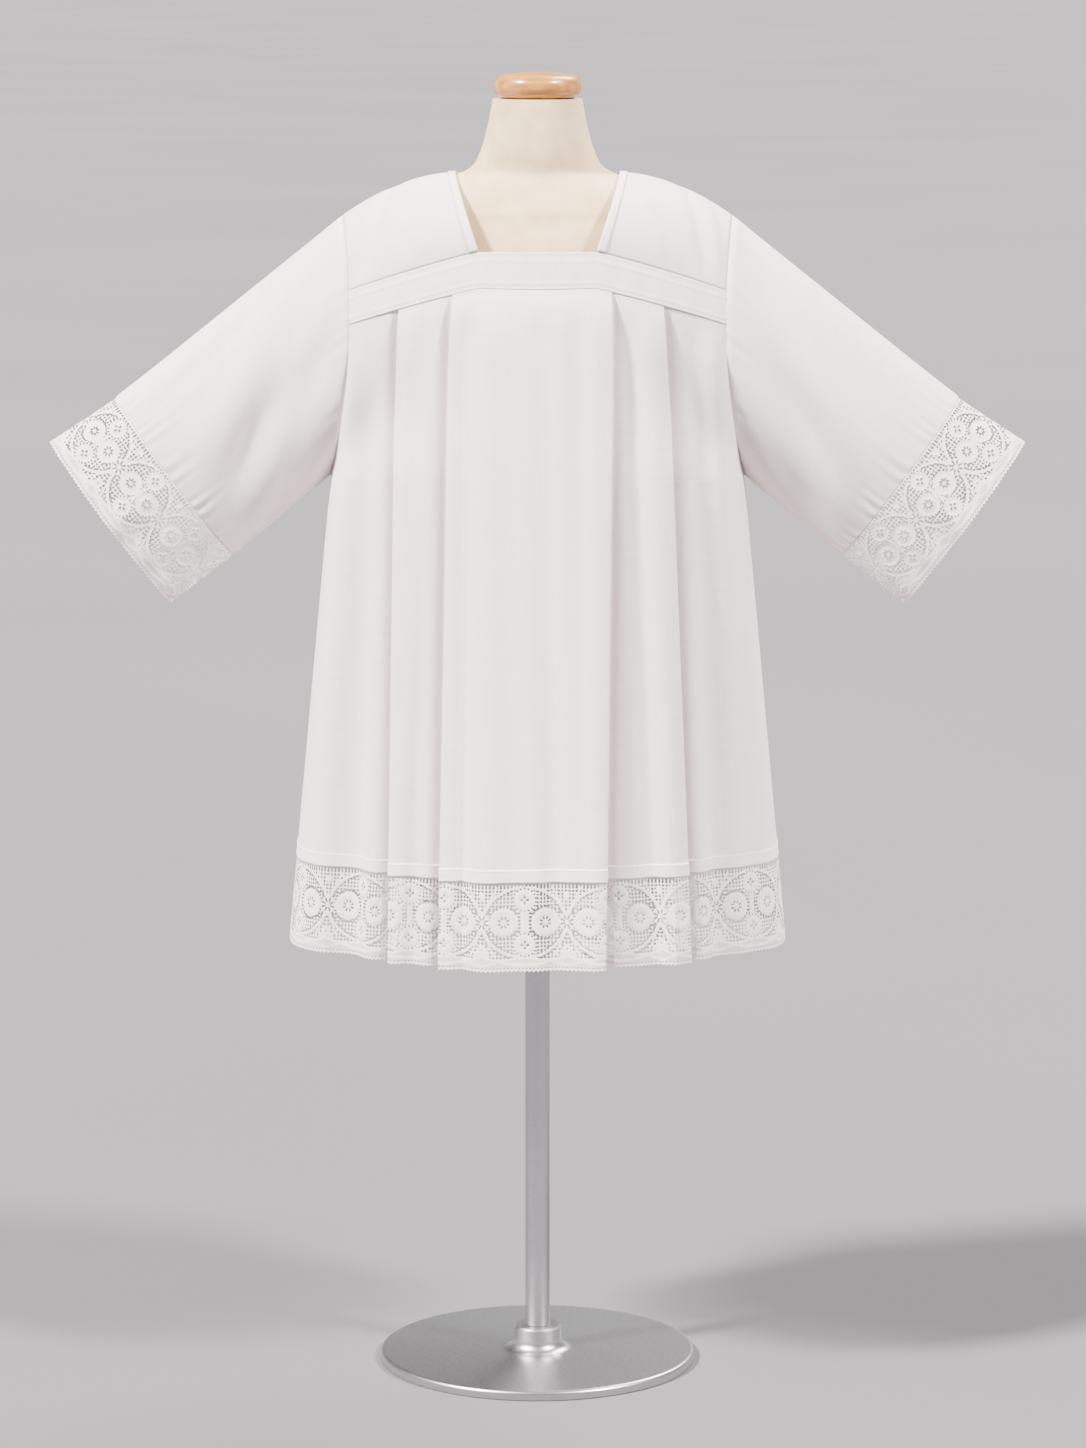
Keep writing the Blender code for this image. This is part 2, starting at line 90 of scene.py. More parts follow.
def lengths(points, axis):
    """Distance along a grid's rows (axis 1) or columns (axis 0) from their start."""
    step = np.linalg.norm(np.diff(points, axis=axis), axis=-1)
    start = np.zeros_like(np.take(step, [0], axis=axis))
    return np.concatenate([start, np.cumsum(step, axis=axis)], axis=axis)


def sampled(places, along, line):
    """Points at these places along a line, whose own points lie at the distances in along."""
    return np.stack([np.interp(places, along, line[:, k]) for k in range(3)], axis=-1)


def joined_up(points):
    """A closed grid with its first column repeated at its end."""
    return np.concatenate([points, points[:, :1]], axis=1)


def piece_of(name, points, faces, flat, finish):
    """A smooth-shaded object from points, a list of faces, and flat places of the points or None."""
    mesh = bpy.data.meshes.new(name)
    mesh.from_pydata(points.tolist(), [], faces)
    if flat is not None:
        corners = np.empty(len(mesh.loops), np.int32)
        mesh.loops.foreach_get("vertex_index", corners)
        layer = mesh.uv_layers.new(name="cloth")
        layer.data.foreach_set("uv", flat[corners].astype(np.float32).ravel())
    mesh.materials.append(finish)
    mesh.shade_smooth()
    mesh.update()
    made = bpy.data.objects.new(name, mesh)
    bpy.context.scene.collection.objects.link(made)
    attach(made, "root")
    return made


def grid_faces(rows, columns, closed=False):
    """Quads between neighbouring points of a grid, facing the way that grid_normals points."""
    index = np.arange(rows * columns).reshape(rows, columns)
    right = np.roll(index, -1, axis=1)
    keep = slice(None) if closed else slice(0, columns - 1)
    quads = [index[:-1, keep], index[1:, keep], right[1:, keep], right[:-1, keep]]
    return np.stack(quads, axis=-1).reshape(-1, 4)


def surface(name, points, finish, thickness, closed=False):
    """A sheet of cloth from a grid of points, walled evenly on both sides, with its flat places."""
    rows, columns = points.shape[:2]
    along = np.broadcast_to(lengths(points, 1).mean(axis=0)[None, :], (rows, columns))
    down = np.broadcast_to(lengths(points, 0).mean(axis=1)[:, None], (rows, columns))
    flat = np.stack([along, -down], axis=-1).reshape(-1, 2)
    faces = grid_faces(rows, columns, closed).tolist()
    made = piece_of(name, points.reshape(-1, 3), faces, flat, finish)
    wall = made.modifiers.new("wall", "SOLIDIFY")
    wall.thickness, wall.offset = thickness, 0.0
    return made


def cut_of(points, closed=False):
    """Flat width, length and area in metres of the cloth in a grid of points."""
    across = joined_up(points) if closed else points
    width, length = lengths(across, 1)[:, -1], lengths(points, 0)[-1]
    a, b, c, d = across[:-1, :-1], across[:-1, 1:], across[1:, 1:], across[1:, :-1]
    halves = sum(np.linalg.norm(np.cross(p - a, q - a), axis=-1) for p, q in ((b, c), (c, d)))
    return float(width.max()), float(length.max()), float(halves.sum() / 2)


def declare_sheet(made, points, closed=False, share=1.0):
    """States a sheet's flat cut. The share is the part of its area that isn't holes."""
    width, length, area = cut_of(points, closed)
    area = min(area * share, width * length)
    print(f"{made.name}: cut {width * 1000:.0f} x {length * 1000:.0f} mm, {area * 1e4:.0f} cm2")


# %% [markdown]
# The cloth is a thin cotton blend in plain weave: threads about 0.25 mm apart cross over and
# under. That is far too fine for this picture, so the weave is drawn at about 1 mm, with longer
# soft streaks along both ways of the threads, which is what the eye does see in real cloth.
# A little sheen lightens it at glancing angles, as the loose fibres do.

# %% Colours and the helpers for nodes
def linear(hex_code):
    """An sRGB hex value as a linear colour: each channel follows the sRGB curve, a power of 2.4."""
    channels = [int(hex_code[k : k + 2], 16) / 255 for k in (1, 3, 5)]
    turned = [c / 12.92 if c <= 0.04045 else ((c + 0.055) / 1.055) ** 2.4 for c in channels]
    return (*turned, 1.0)


def node(tree, kind, inputs=(), **settings):
    """Adds one node, with its settings, its input values, and links for inputs that are sockets."""
    made = tree.nodes.new(kind)
    for key, value in settings.items():
        setattr(made, key, value)
    for key, value in dict(inputs).items():
        if isinstance(value, bpy.types.NodeSocket):
            tree.links.new(value, made.inputs[key])
        else:
            made.inputs[key].default_value = value
    return made


def new_material(name, values):
    """A material with values set on its Principled BSDF. Returns it, its node tree and the shader."""
    made = bpy.data.materials.new(name)
    made.use_nodes = True
    shader = made.node_tree.nodes["Principled BSDF"]
    for socket, value in values.items():
        shader.inputs[socket].default_value = value
    return made, made.node_tree, shader


def combined(tree, operation, a, b):
    """One operation on two numbers or sockets."""
    return node(tree, "ShaderNodeMath", {0: a, 1: b}, operation=operation).outputs[0]


def noise(tree, place, scale, detail):
    """Soft noise from 0 to 1. Its scale is a number, or three of them where it is stretched."""
    if isinstance(scale, tuple):
        place = node(tree, "ShaderNodeMapping", {"Vector": place, "Scale": scale}).outputs["Vector"]
        scale = 1.0
    inputs = {"Vector": place, "Scale": scale, "Detail": detail}
    return node(tree, "ShaderNodeTexNoise", inputs).outputs["Fac"]


def colour(tree, shader, factor, low, high, stops=(0.35, 0.65)):
    """Turns a shader from one hex colour to another while the factor goes between the stops."""
    ramp = node(tree, "ShaderNodeValToRGB", {"Fac": factor})
    for k, hex_code in enumerate((low, high)):
        ramp.color_ramp.elements[k].position = stops[k]
        ramp.color_ramp.elements[k].color = linear(hex_code)
    tree.links.new(ramp.outputs["Color"], shader.inputs["Base Color"])


def relieve(tree, shader, height, strength, distance):
    """Gives a shader a relief: a height of 1 stands for this distance in metres."""
    bump = node(tree, "ShaderNodeBump", {"Height": height, "Strength": strength, "Distance": distance})
    tree.links.new(bump.outputs["Normal"], shader.inputs["Normal"])


# %% Cotton cloth, plain-woven and pressed
THREAD_DRAWN, SLUB_LENGTH, SLUB_THINNESS = 0.0011, 0.045, 14
WAVES_A_UNIT = 3.2  # of Blender's wave texture, at a scale of 1


def woven_cotton(name, light, dark, thread, depth):
    """Plain weave on the cloth's own UV map: two crossed waves for threads, and streaks for slubs."""
    values = {"Roughness": 0.82, "Specular IOR Level": 0.25, "Sheen Weight": 0.15, "Sheen Roughness": 0.5}
    made, tree, shader = new_material(name, values)
    flat = node(tree, "ShaderNodeUVMap", uv_map="cloth").outputs["UV"]
    waves = {"Vector": flat, "Scale": 1 / thread / WAVES_A_UNIT}
    warp, weft = (node(tree, "ShaderNodeTexWave", waves, bands_direction=way).outputs["Fac"] for way in "XY")
    coarse, fine = 1 / SLUB_LENGTH, SLUB_THINNESS / SLUB_LENGTH
    streaks = [noise(tree, flat, scale, 3.0) for scale in ((coarse, fine, 1), (fine, coarse, 1))]
    slubs = combined(tree, "MULTIPLY", combined(tree, "ADD", *streaks), 0.5)
    colour(tree, shader, slubs, dark, light)
    threads = combined(tree, "MULTIPLY", warp, weft)
    relieve(tree, shader, combined(tree, "ADD", threads, slubs), depth, 0.0002)
    return made


# The faint pink of both cloths is painted light: the red of a garment worn under the surplice, which isn't
# built here.
cotton = woven_cotton("cotton_cloth_pressed", "#EEE3E3", "#E7DADB", THREAD_DRAWN, 0.30)
hem_cotton = woven_cotton("cotton_cloth_doubled", "#F6EBEB", "#EFE3E3", THREAD_DRAWN, 0.30)
thread_cotton = woven_cotton("sewing_thread", "#F3F0F0", "#E6E2E3", THREAD_DRAWN / 2, 0.2)
print("cloth finishes:", cotton.name, hem_cotton.name, thread_cotton.name)

# %% [markdown]
# The lace is machine-made cotton: thick soft cord for the motifs, and a square net of thin
# twisted thread between them. Its sheer leaves at the hem are so fine that their holes can't be
# seen, so they get a greyer tone: painted shade for the shaded inside seen through those holes, placed by an
# attribute of the mesh.

# %% Lace finishes, with painted shade placed by the "sheer" attribute of the lace's mesh
def lace_cotton(name):
    """Soft matt thread with a fine uneven twist, greyer where the lace is sheer: painted shade for holes too
    fine to build.
    """
    values = {"Roughness": 0.88, "Specular IOR Level": 0.2, "Sheen Weight": 0.2}
    made, tree, shader = new_material(name, values)
    sheer = node(tree, "ShaderNodeAttribute", attribute_name="sheer").outputs["Fac"]
    # Painted shade: sheer parts are greyer, standing in for the shaded inside seen through their tiny holes.
    # The faint pink of both colours is painted red light, as on the cloth.
    colour(tree, shader, sheer, "#F0E8E8", "#D3C9CA", (0.0, 1.0))
    flat = node(tree, "ShaderNodeUVMap", uv_map="cloth").outputs["UV"]
    relieve(tree, shader, noise(tree, flat, 1400.0, 2.0), 0.35, 0.0002)
    return made


lace_finish = lace_cotton("cotton_lace_thread")

# %% [markdown]
# The dress form is a moulded body under a stretched cream cover. Its neck ends in a turned beech
# cap, dyed honey-brown and varnished, and it stands on a steel tube with a heavy round foot.

# %% Form cover, beech and steel
def form_jersey(name):
    """Fine cream jersey: rows of tiny ribs, and a faint mottling from handling."""
    values = {"Roughness": 0.9, "Specular IOR Level": 0.2, "Sheen Weight": 0.15}
    made, tree, shader = new_material(name, values)
    place = node(tree, "ShaderNodeTexCoord").outputs["Object"]
    colour(tree, shader, noise(tree, place, 45.0, 4.0), "#D9BE94", "#E4CDA6")
    waves = {"Vector": place, "Scale": 260.0, "Distortion": 0.6}
    ribs = node(tree, "ShaderNodeTexWave", waves, bands_direction="Z")
    relieve(tree, shader, ribs.outputs["Fac"], 0.25, 0.0003)
    return made


def varnished_beech(name):
    """Turned wood: stretched noise for the grain, and a clear coat over it."""
    values = {"Roughness": 0.38, "Coat Weight": 0.6, "Coat Roughness": 0.16}
    made, tree, shader = new_material(name, values)
    place = node(tree, "ShaderNodeTexCoord").outputs["Object"]
    grain = noise(tree, place, (14.0, 160.0, 160.0), 5.0)
    colour(tree, shader, grain, "#9A6224", "#CC9145", (0.3, 0.7))
    relieve(tree, shader, grain, 0.08, 0.0003)
    return made


def brushed_steel(name):
    """Brushed steel: fine scratches stretched round the piece, which roughen it unevenly."""
    made, tree, shader = new_material(name, {"Metallic": 1.0})
    place = node(tree, "ShaderNodeTexCoord").outputs["Object"]
    scratch = noise(tree, place, (240.0, 240.0, 2400.0), 4.0)
    colour(tree, shader, scratch, "#B2B2B5", "#C2C2C5")
    worn = node(tree, "ShaderNodeMapRange", {"Value": scratch, "To Min": 0.28, "To Max": 0.37})
    tree.links.new(worn.outputs["Result"], shader.inputs["Roughness"])
    return made


cover_finish = form_jersey("form_cover_jersey")
beech_finish = varnished_beech("beech_turned_and_varnished")
steel_finish = brushed_steel("steel_brushed")

# %% [markdown]
# The camera stands five metres off and looks slightly down, as the photograph does, so the long
# lens keeps both sleeves at nearly one scale. The lamps are broad suns, which light the near and
# the far floor alike: a key on each side, the left one stronger, and a rim from behind. So a pleat
# that faces either way has its shadow. The surroundings are pale near the horizon, where they meet
# the floor almost unseen, and dim above it, so that they fill no shadow.

# %% Camera, light and floor
CAMERA_DISTANCE = 5.0
CAMERA_ELEVATION = math.radians(9.0)
CAMERA_TARGET_Z = 0.653
FOCAL_PIXELS = 5000.0
PHOTO_SIZE = (1086, 1448)
OBJECT_MIDDLE_PIXEL = 537.5
FLOOR_REACH = 150.0


def studio():
    """Places the camera, three soft lamps, the pale surroundings and the floor."""
    data = bpy.data.cameras.new("photo_camera")
    data.sensor_width = 36.0
    data.lens = data.sensor_width * FOCAL_PIXELS / PHOTO_SIZE[1]
    data.shift_x = (PHOTO_SIZE[0] / 2 - OBJECT_MIDDLE_PIXEL) / PHOTO_SIZE[1]
    camera = bpy.data.objects.new("photo_camera", data)
    away = CAMERA_DISTANCE * math.cos(CAMERA_ELEVATION)
    camera.location = (0.0, -away, CAMERA_TARGET_Z + CAMERA_DISTANCE * math.sin(CAMERA_ELEVATION))
    camera.rotation_euler = (math.pi / 2 - CAMERA_ELEVATION, 0.0, 0.0)
    bpy.context.scene.collection.objects.link(camera)
    bpy.context.scene.camera = camera

    lamps = (
        # name, degrees to the left of the camera, degrees up, width in degrees, strength
        ("left key", 60, 47, 7, 17.5),
        ("right key", -58, 45, 8, 9.5),
        ("back", -148, 44, 24, 4.2),
    )
    for name, left, up, width, strength in lamps:
        lamp = bpy.data.lights.new(name, "SUN")
        lamp.angle = math.radians(width)
        lamp.energy = strength
        lamp.color = linear("#FFF7F4")[:3]
        held = bpy.data.objects.new(name, lamp)
        held.rotation_euler = (math.radians(90 - up), 0.0, -math.radians(left))
        bpy.context.scene.collection.objects.link(held)

    world = bpy.data.worlds.new("studio")
    world.use_nodes = True
    tree = world.node_tree
    tree.nodes["Background"].inputs["Color"].default_value = linear("#F4F4F6")
    way = node(tree, "ShaderNodeTexCoord").outputs["Generated"]
    height = node(tree, "ShaderNodeSeparateXYZ", {"Vector": way}).outputs["Z"]
    glow = {"Value": height, "From Min": 0.06, "From Max": 0.35, "To Min": 1.02, "To Max": 0.12}
    strength = node(tree, "ShaderNodeMapRange", glow).outputs["Result"]
    tree.links.new(strength, tree.nodes["Background"].inputs["Strength"])
    bpy.context.scene.world = world

    mesh = bpy.data.meshes.new("studio_floor")
    corners = [(x * FLOOR_REACH, y * FLOOR_REACH, 0) for x, y in ((-1, -1), (1, -1), (1, 1), (-1, 1))]
    mesh.from_pydata(corners, [], [(0, 1, 2, 3)])
    floor = bpy.data.objects.new("studio_floor", mesh)
    bpy.context.scene.collection.objects.link(floor)
    paper, tree, shader = new_material("floor_paper", {"Roughness": 0.95, "Specular IOR Level": 0.1})
    place = node(tree, "ShaderNodeTexCoord").outputs["Object"]
    colour(tree, shader, noise(tree, place, 0.4, 2.0), "#636366", "#666669")
    mesh.materials.append(paper)


studio()

# %% [markdown]
# The armhole is the ring that every upper piece meets: the yoke, the bands, the body panels and
# the sleeve all end on it. It is worked out once, as a tall ellipse in a plane that leans, and
# the same function gives each piece its edge, so the seams meet.

# %% Armhole, neck and yoke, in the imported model's own sizes
WALL = 0.0008
SEAM_GAP = 0.0002
NECK_RIDGE_X, NECK_RIDGE_Z = 0.081, 1.202
FRONT_CORNER = (0.057, -0.098, 1.130)
BACK_CORNER = (0.062, 0.078, 1.165)
YOKE_BULGE = 0.009
NECK_BOW = 0.004
ARMHOLE_TOP_X, ARMHOLE_FOOT_X, ARMHOLE_DIP = 0.191, 0.204, 0.0135
ARMHOLE_Z, ARMHOLE_HALF_HEIGHT, ARMHOLE_HALF_DEPTH = 1.0325, 0.1275, 0.070
BAND_FROM = {"front": math.radians(63.2), "back": math.radians(50.0)}
BAND_TO = {"front": math.radians(78.5), "back": math.radians(66.0)}
BAND_HEIGHT, BAND_LEAN = 0.036, 0.005
CORNER = {"front": FRONT_CORNER, "back": BACK_CORNER}
FACING = {"front": -1.0, "back": 1.0}
HANDS = ((-1, "left"), (1, "right"))


def armhole(angle, side):
    """The armhole seam: a cosine in height, a sine in depth, and a lean and a dip in width."""
    angle = np.asarray(angle, float)
    high = (1.0 + np.cos(angle)) / 2.0
    x = ARMHOLE_TOP_X * high + ARMHOLE_FOOT_X * (1.0 - high) - ARMHOLE_DIP * np.sin(angle) ** 2
    y = -ARMHOLE_HALF_DEPTH * np.sin(angle)
    z = ARMHOLE_Z + ARMHOLE_HALF_HEIGHT * np.cos(angle)
    return np.stack([side * x, y, z], axis=-1)


def neck_edge(turn, side):
    """The neck's side edge: from the ridge each corner is reached by a sine and a cosine."""
    turn = np.asarray(turn, float)
    front = turn >= 0
    corner_x = np.where(front, FRONT_CORNER[0], BACK_CORNER[0])
    depth = np.where(front, -FRONT_CORNER[1], BACK_CORNER[1])
    corner_z = np.where(front, FRONT_CORNER[2], BACK_CORNER[2])
    x = corner_x + (NECK_RIDGE_X - corner_x) * np.cos(turn)
    y = -depth * np.sin(turn)
    z = corner_z + (NECK_RIDGE_Z - corner_z) * np.cos(turn)
    return np.stack([side * x, y, z], axis=-1)


def yoke_point(across, turn, side):
    """The shoulder piece: straight from the neck to the armhole, with a parabola's crown added."""
    across, turn = np.broadcast_arrays(np.asarray(across, float), np.asarray(turn, float))
    band = np.where(turn >= 0, BAND_FROM["front"], BAND_FROM["back"])
    outer = armhole(turn / (math.pi / 2) * band, side)
    inner = neck_edge(turn, side)
    crown = YOKE_BULGE * 4.0 * across * (1.0 - across)
    lift = np.stack([0 * turn, -np.sin(turn) * 0.6, np.cos(turn) * 0.8 + 0.2], axis=-1)
    return blend(inner, outer, across[..., None]) + crown[..., None] * lift


def band_top(share, where):
    """A band's upper edge: the neck's edge between its corners, and the shoulder piece's past them."""
    share = np.asarray(share, float)
    corner = np.array(CORNER[where])
    turn = -FACING[where] * math.pi / 2
    end_x = abs(armhole(BAND_FROM[where], 1)[0])
    x = np.abs(share) * end_x
    across = np.clip((x - corner[0]) / (end_x - corner[0]), 0.0, 1.0)
    outer = yoke_point(across, np.full(share.shape, turn), 1)
    inner = np.stack([x, np.full(share.shape, corner[1]), np.full(share.shape, corner[2])], axis=-1)
    inner[..., 1] += FACING[where] * NECK_BOW * (1.0 - (x / corner[0]) ** 2)
    point = np.where((x > corner[0])[..., None], outer, inner)
    point[..., 0] *= np.where(share < 0, -1.0, 1.0)
    return point


def band_foot(share, where):
    """A band's lower edge: its upper one moved down, by degrees turning into the armhole's line."""
    share = np.asarray(share, float)
    facing = FACING[where]
    at_end = armhole(-facing * BAND_TO[where], 1) - armhole(-facing * BAND_FROM[where], 1)
    at_end = np.where(share[..., None] < 0, at_end * (-1, 1, 1), at_end)
    at_middle = np.array([0.0, facing * BAND_LEAN, -BAND_HEIGHT])
    return band_top(share, where) + blend(at_middle, at_end, np.abs(share)[..., None])


# %% [markdown]
# Cloth on a shoulder is never quite smooth: it pulls from the neck and the armhole into shallow
# creases. Each crease is a row in a short table, a straight line across the piece with a soft
# bell-shaped section, and the piece is moved along its own normal by the sum of them.

# %% Shoulder pieces
YOKE_CREASES = (
    # side, from (across, turn), to (across, turn), half-width, height in metres
    (-1, (0.55, 0.10), (0.90, 1.45), 0.060, -0.0022),
    (-1, (0.72, 0.35), (0.98, 1.40), 0.045, 0.0016),
    (-1, (0.20, 0.60), (0.42, 1.45), 0.080, 0.0012),
    (1, (0.60, 0.20), (0.84, 1.45), 0.050, -0.0020),
    (1, (0.80, 0.45), (0.96, 1.45), 0.045, 0.0016),
    (1, (0.25, 0.70), (0.50, 1.45), 0.080, 0.0012),
    (-1, (0.60, -0.20), (0.85, -1.40), 0.070, -0.0018),
    (1, (0.55, -0.25), (0.80, -1.40), 0.070, -0.0018),
)


def creases(u, v, rows):
    """Sum of creases: each is a bell across its line, and fades in and out along it."""
    total = np.zeros(np.broadcast(u, v).shape)
    for start, end, half_width, height in rows:
        start, end = np.array(start), np.array(end)
        way = end - start
        along = ((u - start[0]) * way[0] + (v - start[1]) * way[1]) / (way @ way)
        off_u = u - start[0] - along * way[0]
        off_v = v - start[1] - along * way[1]
        bell = np.exp(-(off_u**2 + off_v**2) / half_width**2)
        total = total + height * bell * smooth((along + 0.35) / 0.6) * smooth((1.35 - along) / 0.6)
    return total


def shoulder_grid(side, across, turn):
    """A fine grid of a shoulder piece with its creases, its edges left on the seams."""
    across, turn = np.meshgrid(across, turn)
    points = yoke_point(across, turn, side)
    rows = [row[1:] for row in YOKE_CREASES if row[0] == side]
    inside = smooth(across / 0.15) * smooth((1 - across) / 0.12)
    inside *= smooth((math.pi / 2 - np.abs(turn)) / 0.25)
    outward = grid_normals(points)
    outward *= np.sign(outward[len(outward) // 2, len(outward[0]) // 2, 2])
    return points + outward * (creases(across, turn, rows) * inside)[..., None]


def make_shoulder(side, hand):
    """One shoulder piece, in place of its plain solid."""
    margin = SEAM_GAP / (ARMHOLE_TOP_X - NECK_RIDGE_X)
    across = np.linspace(0.0, 1.0 - margin, 48)
    turn = np.linspace(-math.pi / 2 + margin, math.pi / 2 - margin, 90)
    points = shoulder_grid(side, across, turn)
    made = surface(f"shoulder_{hand}_cloth", points, cotton, WALL)
    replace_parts(made, f"yoke_{hand}")
    declare_sheet(made, points)


for side, hand in HANDS:
    make_shoulder(side, hand)

# %% [markdown]
# Sewing shows as rows of tiny raised stitches. One stitch is a short thread that dives into the
# cloth at both ends, so it is a small pointed spindle. All the stitches of a seam are made at
# once: a spindle's few points are copied to every place along the seam's line.

# %% Rows of stitches along any line
STITCH_LENGTH, STITCH_STEP, STITCH_RADIUS = 0.0024, 0.0034, 0.00034
STITCH_SIDES, STITCH_FLATNESS, STITCH_TIP = 4, 0.8, 0.05
STITCH_RINGS = ((-0.5, 0.0), (-0.28, 0.9), (0.28, 0.9), (0.5, 0.0))


def stitches(name, lines, outward):
    """A spindle at each step along each line. Lines and outward are lists of (points, 3) arrays."""
    around = np.arange(STITCH_SIDES) / STITCH_SIDES * TAU
    points = []
    for line, out in zip(lines, outward):
        along = lengths(line[None], 1)[0]
        places = np.arange(STITCH_STEP, along[-1] - STITCH_STEP, STITCH_STEP)
        middle, up = sampled(places, along, line), unit(sampled(places, along, out))
        way = unit(sampled(places + STITCH_STEP / 4, along, line) - middle)
        aside = unit(np.cross(way, up))
        upright = up[:, None] * np.sin(around)[:, None] * STITCH_FLATNESS
        ring = aside[:, None] * np.cos(around)[:, None] + upright
        rings = []
        for share, width in STITCH_RINGS:
            centre = middle + way * share * STITCH_LENGTH
            rings.append(centre[:, None] + ring * (STITCH_RADIUS * max(width, STITCH_TIP)))
        points.append(np.stack(rings, axis=1).reshape(-1, 3))
    points = np.concatenate(points)
    one = len(STITCH_RINGS) * STITCH_SIDES
    ends = np.array([range(STITCH_SIDES), range(one - 1, one - 1 - STITCH_SIDES, -1)])
    spindle = np.concatenate([grid_faces(len(STITCH_RINGS), STITCH_SIDES, closed=True), ends])
    count = len(points) // one
    faces = (spindle[None] + np.arange(count)[:, None, None] * one).reshape(-1, 4)
    piece_of(name, points, faces.tolist(), points[:, [0, 2]], thread_cotton)
    print(f"{name}: {count} stitches")


# %% [markdown]
# The bands are straight strips folded double and topstitched along both edges, so they are
# crisper and whiter than the cloth they hold.

# %% Front and back bands
EDGE_STITCH, BAND_STITCH_LIFT, BAND_ROWS = 0.16, 0.0002, 29
BAND_FOLDS, BAND_FOLD_HEIGHT, BAND_FOLD_SHARE = (0.0, 0.24, 0.84, 1.0), 0.0004, 0.05
BAND_SWELL, BAND_RIPPLE, RIPPLES = 0.0006, 0.0003, 41.0


def band_grid(where, share, down):
    """A band: straight from its upper edge to its lower one, a little fuller in the middle."""
    top, foot = band_top(share, where), band_foot(share, where)
    points = blend(top[None], foot[None], down[:, None, None])
    swell = BAND_SWELL * np.sin(math.pi * down)[:, None] * np.ones(len(share))
    for fold in BAND_FOLDS:
        swell += BAND_FOLD_HEIGHT * bell(down - fold, BAND_FOLD_SHARE)[:, None]
    swell += BAND_RIPPLE * np.sin(share * RIPPLES)[None, :] * np.sin(math.pi * down)[:, None]
    points[..., 1] += FACING[where] * swell
    return points


def make_band(where):
    """One band with its two rows of topstitching."""
    end = 1 - SEAM_GAP / ARMHOLE_TOP_X
    share = np.sin(np.linspace(-math.pi / 2, math.pi / 2, 180)) * end
    points = band_grid(where, share, np.linspace(0, 1, BAND_ROWS))
    made = surface(f"{where}_band_cloth", points, hem_cotton, WALL)
    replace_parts(made, f"band_{where}")
    declare_sheet(made, points)
    outward = grid_normals(points)
    outward *= np.sign(outward[:, :, 1:2] * FACING[where])
    lines, outs = [], []
    for down in (EDGE_STITCH, 1 - EDGE_STITCH):
        line = blend(band_top(share, where), band_foot(share, where), down)
        outs.append(outward[round(down * (BAND_ROWS - 1))])
        lines.append(line + outs[-1] * (WALL / 2 + BAND_STITCH_LIFT))
    stitches(f"{where}_band_stitches", lines, outs)


for where in ("front", "back"):
    make_band(where)

# %% [markdown]
# The body panels carry the pleats. Seen from above, each pleat is a flat Z of three layers: the
# cloth runs past the fold, turns back under itself and comes forward again. A row of the panel is
# therefore a plain curved line plus a path of (along, outward) steps, with tight pressed creases at
# the turns, and the layers open up from a thin pile at the band to loose folds at the hem.

# %% The plain shape of the body, without pleats
LACE_SEAM_Z, HEM_Z = 0.526, 0.438
HEM_HALF_WIDTH = 0.249
HEM_DEPTH = {"front": 0.156, "back": 0.158}
SECTION_POWER = 2.15
ARMPIT_Z = ARMHOLE_Z - ARMHOLE_HALF_HEIGHT
ARMPIT_SQUARER, REACH_ABOVE, REACH_BELOW = 0.9, 0.10, 0.30
SIDE_SLOPE = (HEM_HALF_WIDTH - ARMHOLE_FOOT_X) / (ARMPIT_Z - HEM_Z)
ARMHOLE_HOLD = 0.012
ROW_SAMPLES = 241


def body_row(step, where):
    """One plain row. Steps from 0 to 1 go down the armhole, and those from 1 to 2 down the side seam.

    The top row is the band's foot, and by degrees it becomes half a superellipse. Beside the
    armhole the depth is the root of two squares, its own and the seam's, so it never dips. Away
    from the edge the width goes on along the side seam's line, so the armpit leaves no crease.
    """
    facing, first = FACING[where], BAND_TO[where]
    if step < 1.0:
        angle = first + (math.pi - first) * step
        x_edge, y_edge, z_edge = armhole(-facing * angle, 1)
        fade = float(smooth((z_edge - ARMPIT_Z) / (armhole(first, 1)[2] - ARMPIT_Z)))
    else:
        z_edge = ARMPIT_Z + (HEM_Z - ARMPIT_Z) * (step - 1.0)
        x_edge = ARMHOLE_FOOT_X + (HEM_HALF_WIDTH - ARMHOLE_FOOT_X) * (step - 1.0)
        y_edge, fade = 0.0, 0.0
    lean = np.linspace(-math.pi / 2, math.pi / 2, ROW_SAMPLES)
    share = np.sin(lean)
    top = band_foot(share, where)
    middle = ROW_SAMPLES // 2
    depth_top, z_top = abs(top[middle, 1]), top[middle, 2]
    z = z_edge + fade * (top[:, 2] - top[0, 2])
    down = (z_top - z[middle]) / (z_top - HEM_Z)
    flat = (np.abs(top[:, 1]) - abs(top[0, 1])) / (depth_top - abs(top[0, 1]))
    away = (z_edge - ARMPIT_Z) / (REACH_ABOVE if step < 1.0 else REACH_BELOW)
    power = SECTION_POWER + ARMPIT_SQUARER * math.exp(-(away**2))
    shape = blend(np.cos(lean) ** (2.0 / power), flat, fade)
    reach = blend(depth_top, HEM_DEPTH[where], down)
    held = 1.0 / ((y_edge / reach) ** 2 + ARMHOLE_HOLD)
    rounded = np.sqrt((reach * shape) ** 2 + y_edge**2 * np.clip(1.0 - shape**2, 0.0, 1.0) ** held)
    straight = reach * shape + abs(y_edge) * (1.0 - shape)
    y = facing * (blend(rounded, straight, fade) + SEAM_GAP / 2 * (1.0 - fade))
    side_line = ARMHOLE_FOOT_X - SIDE_SLOPE * (z_edge - ARMPIT_Z)
    half = x_edge + (side_line - x_edge) * (1.0 - share**6) * (1.0 - fade)
    return np.stack([half * share, y, z], axis=-1), fade, down


def side_step(z):
    """The step of the row whose side edge is at height z, below the armpit."""
    return 1.0 + (ARMPIT_Z - z) / (ARMPIT_Z - HEM_Z)


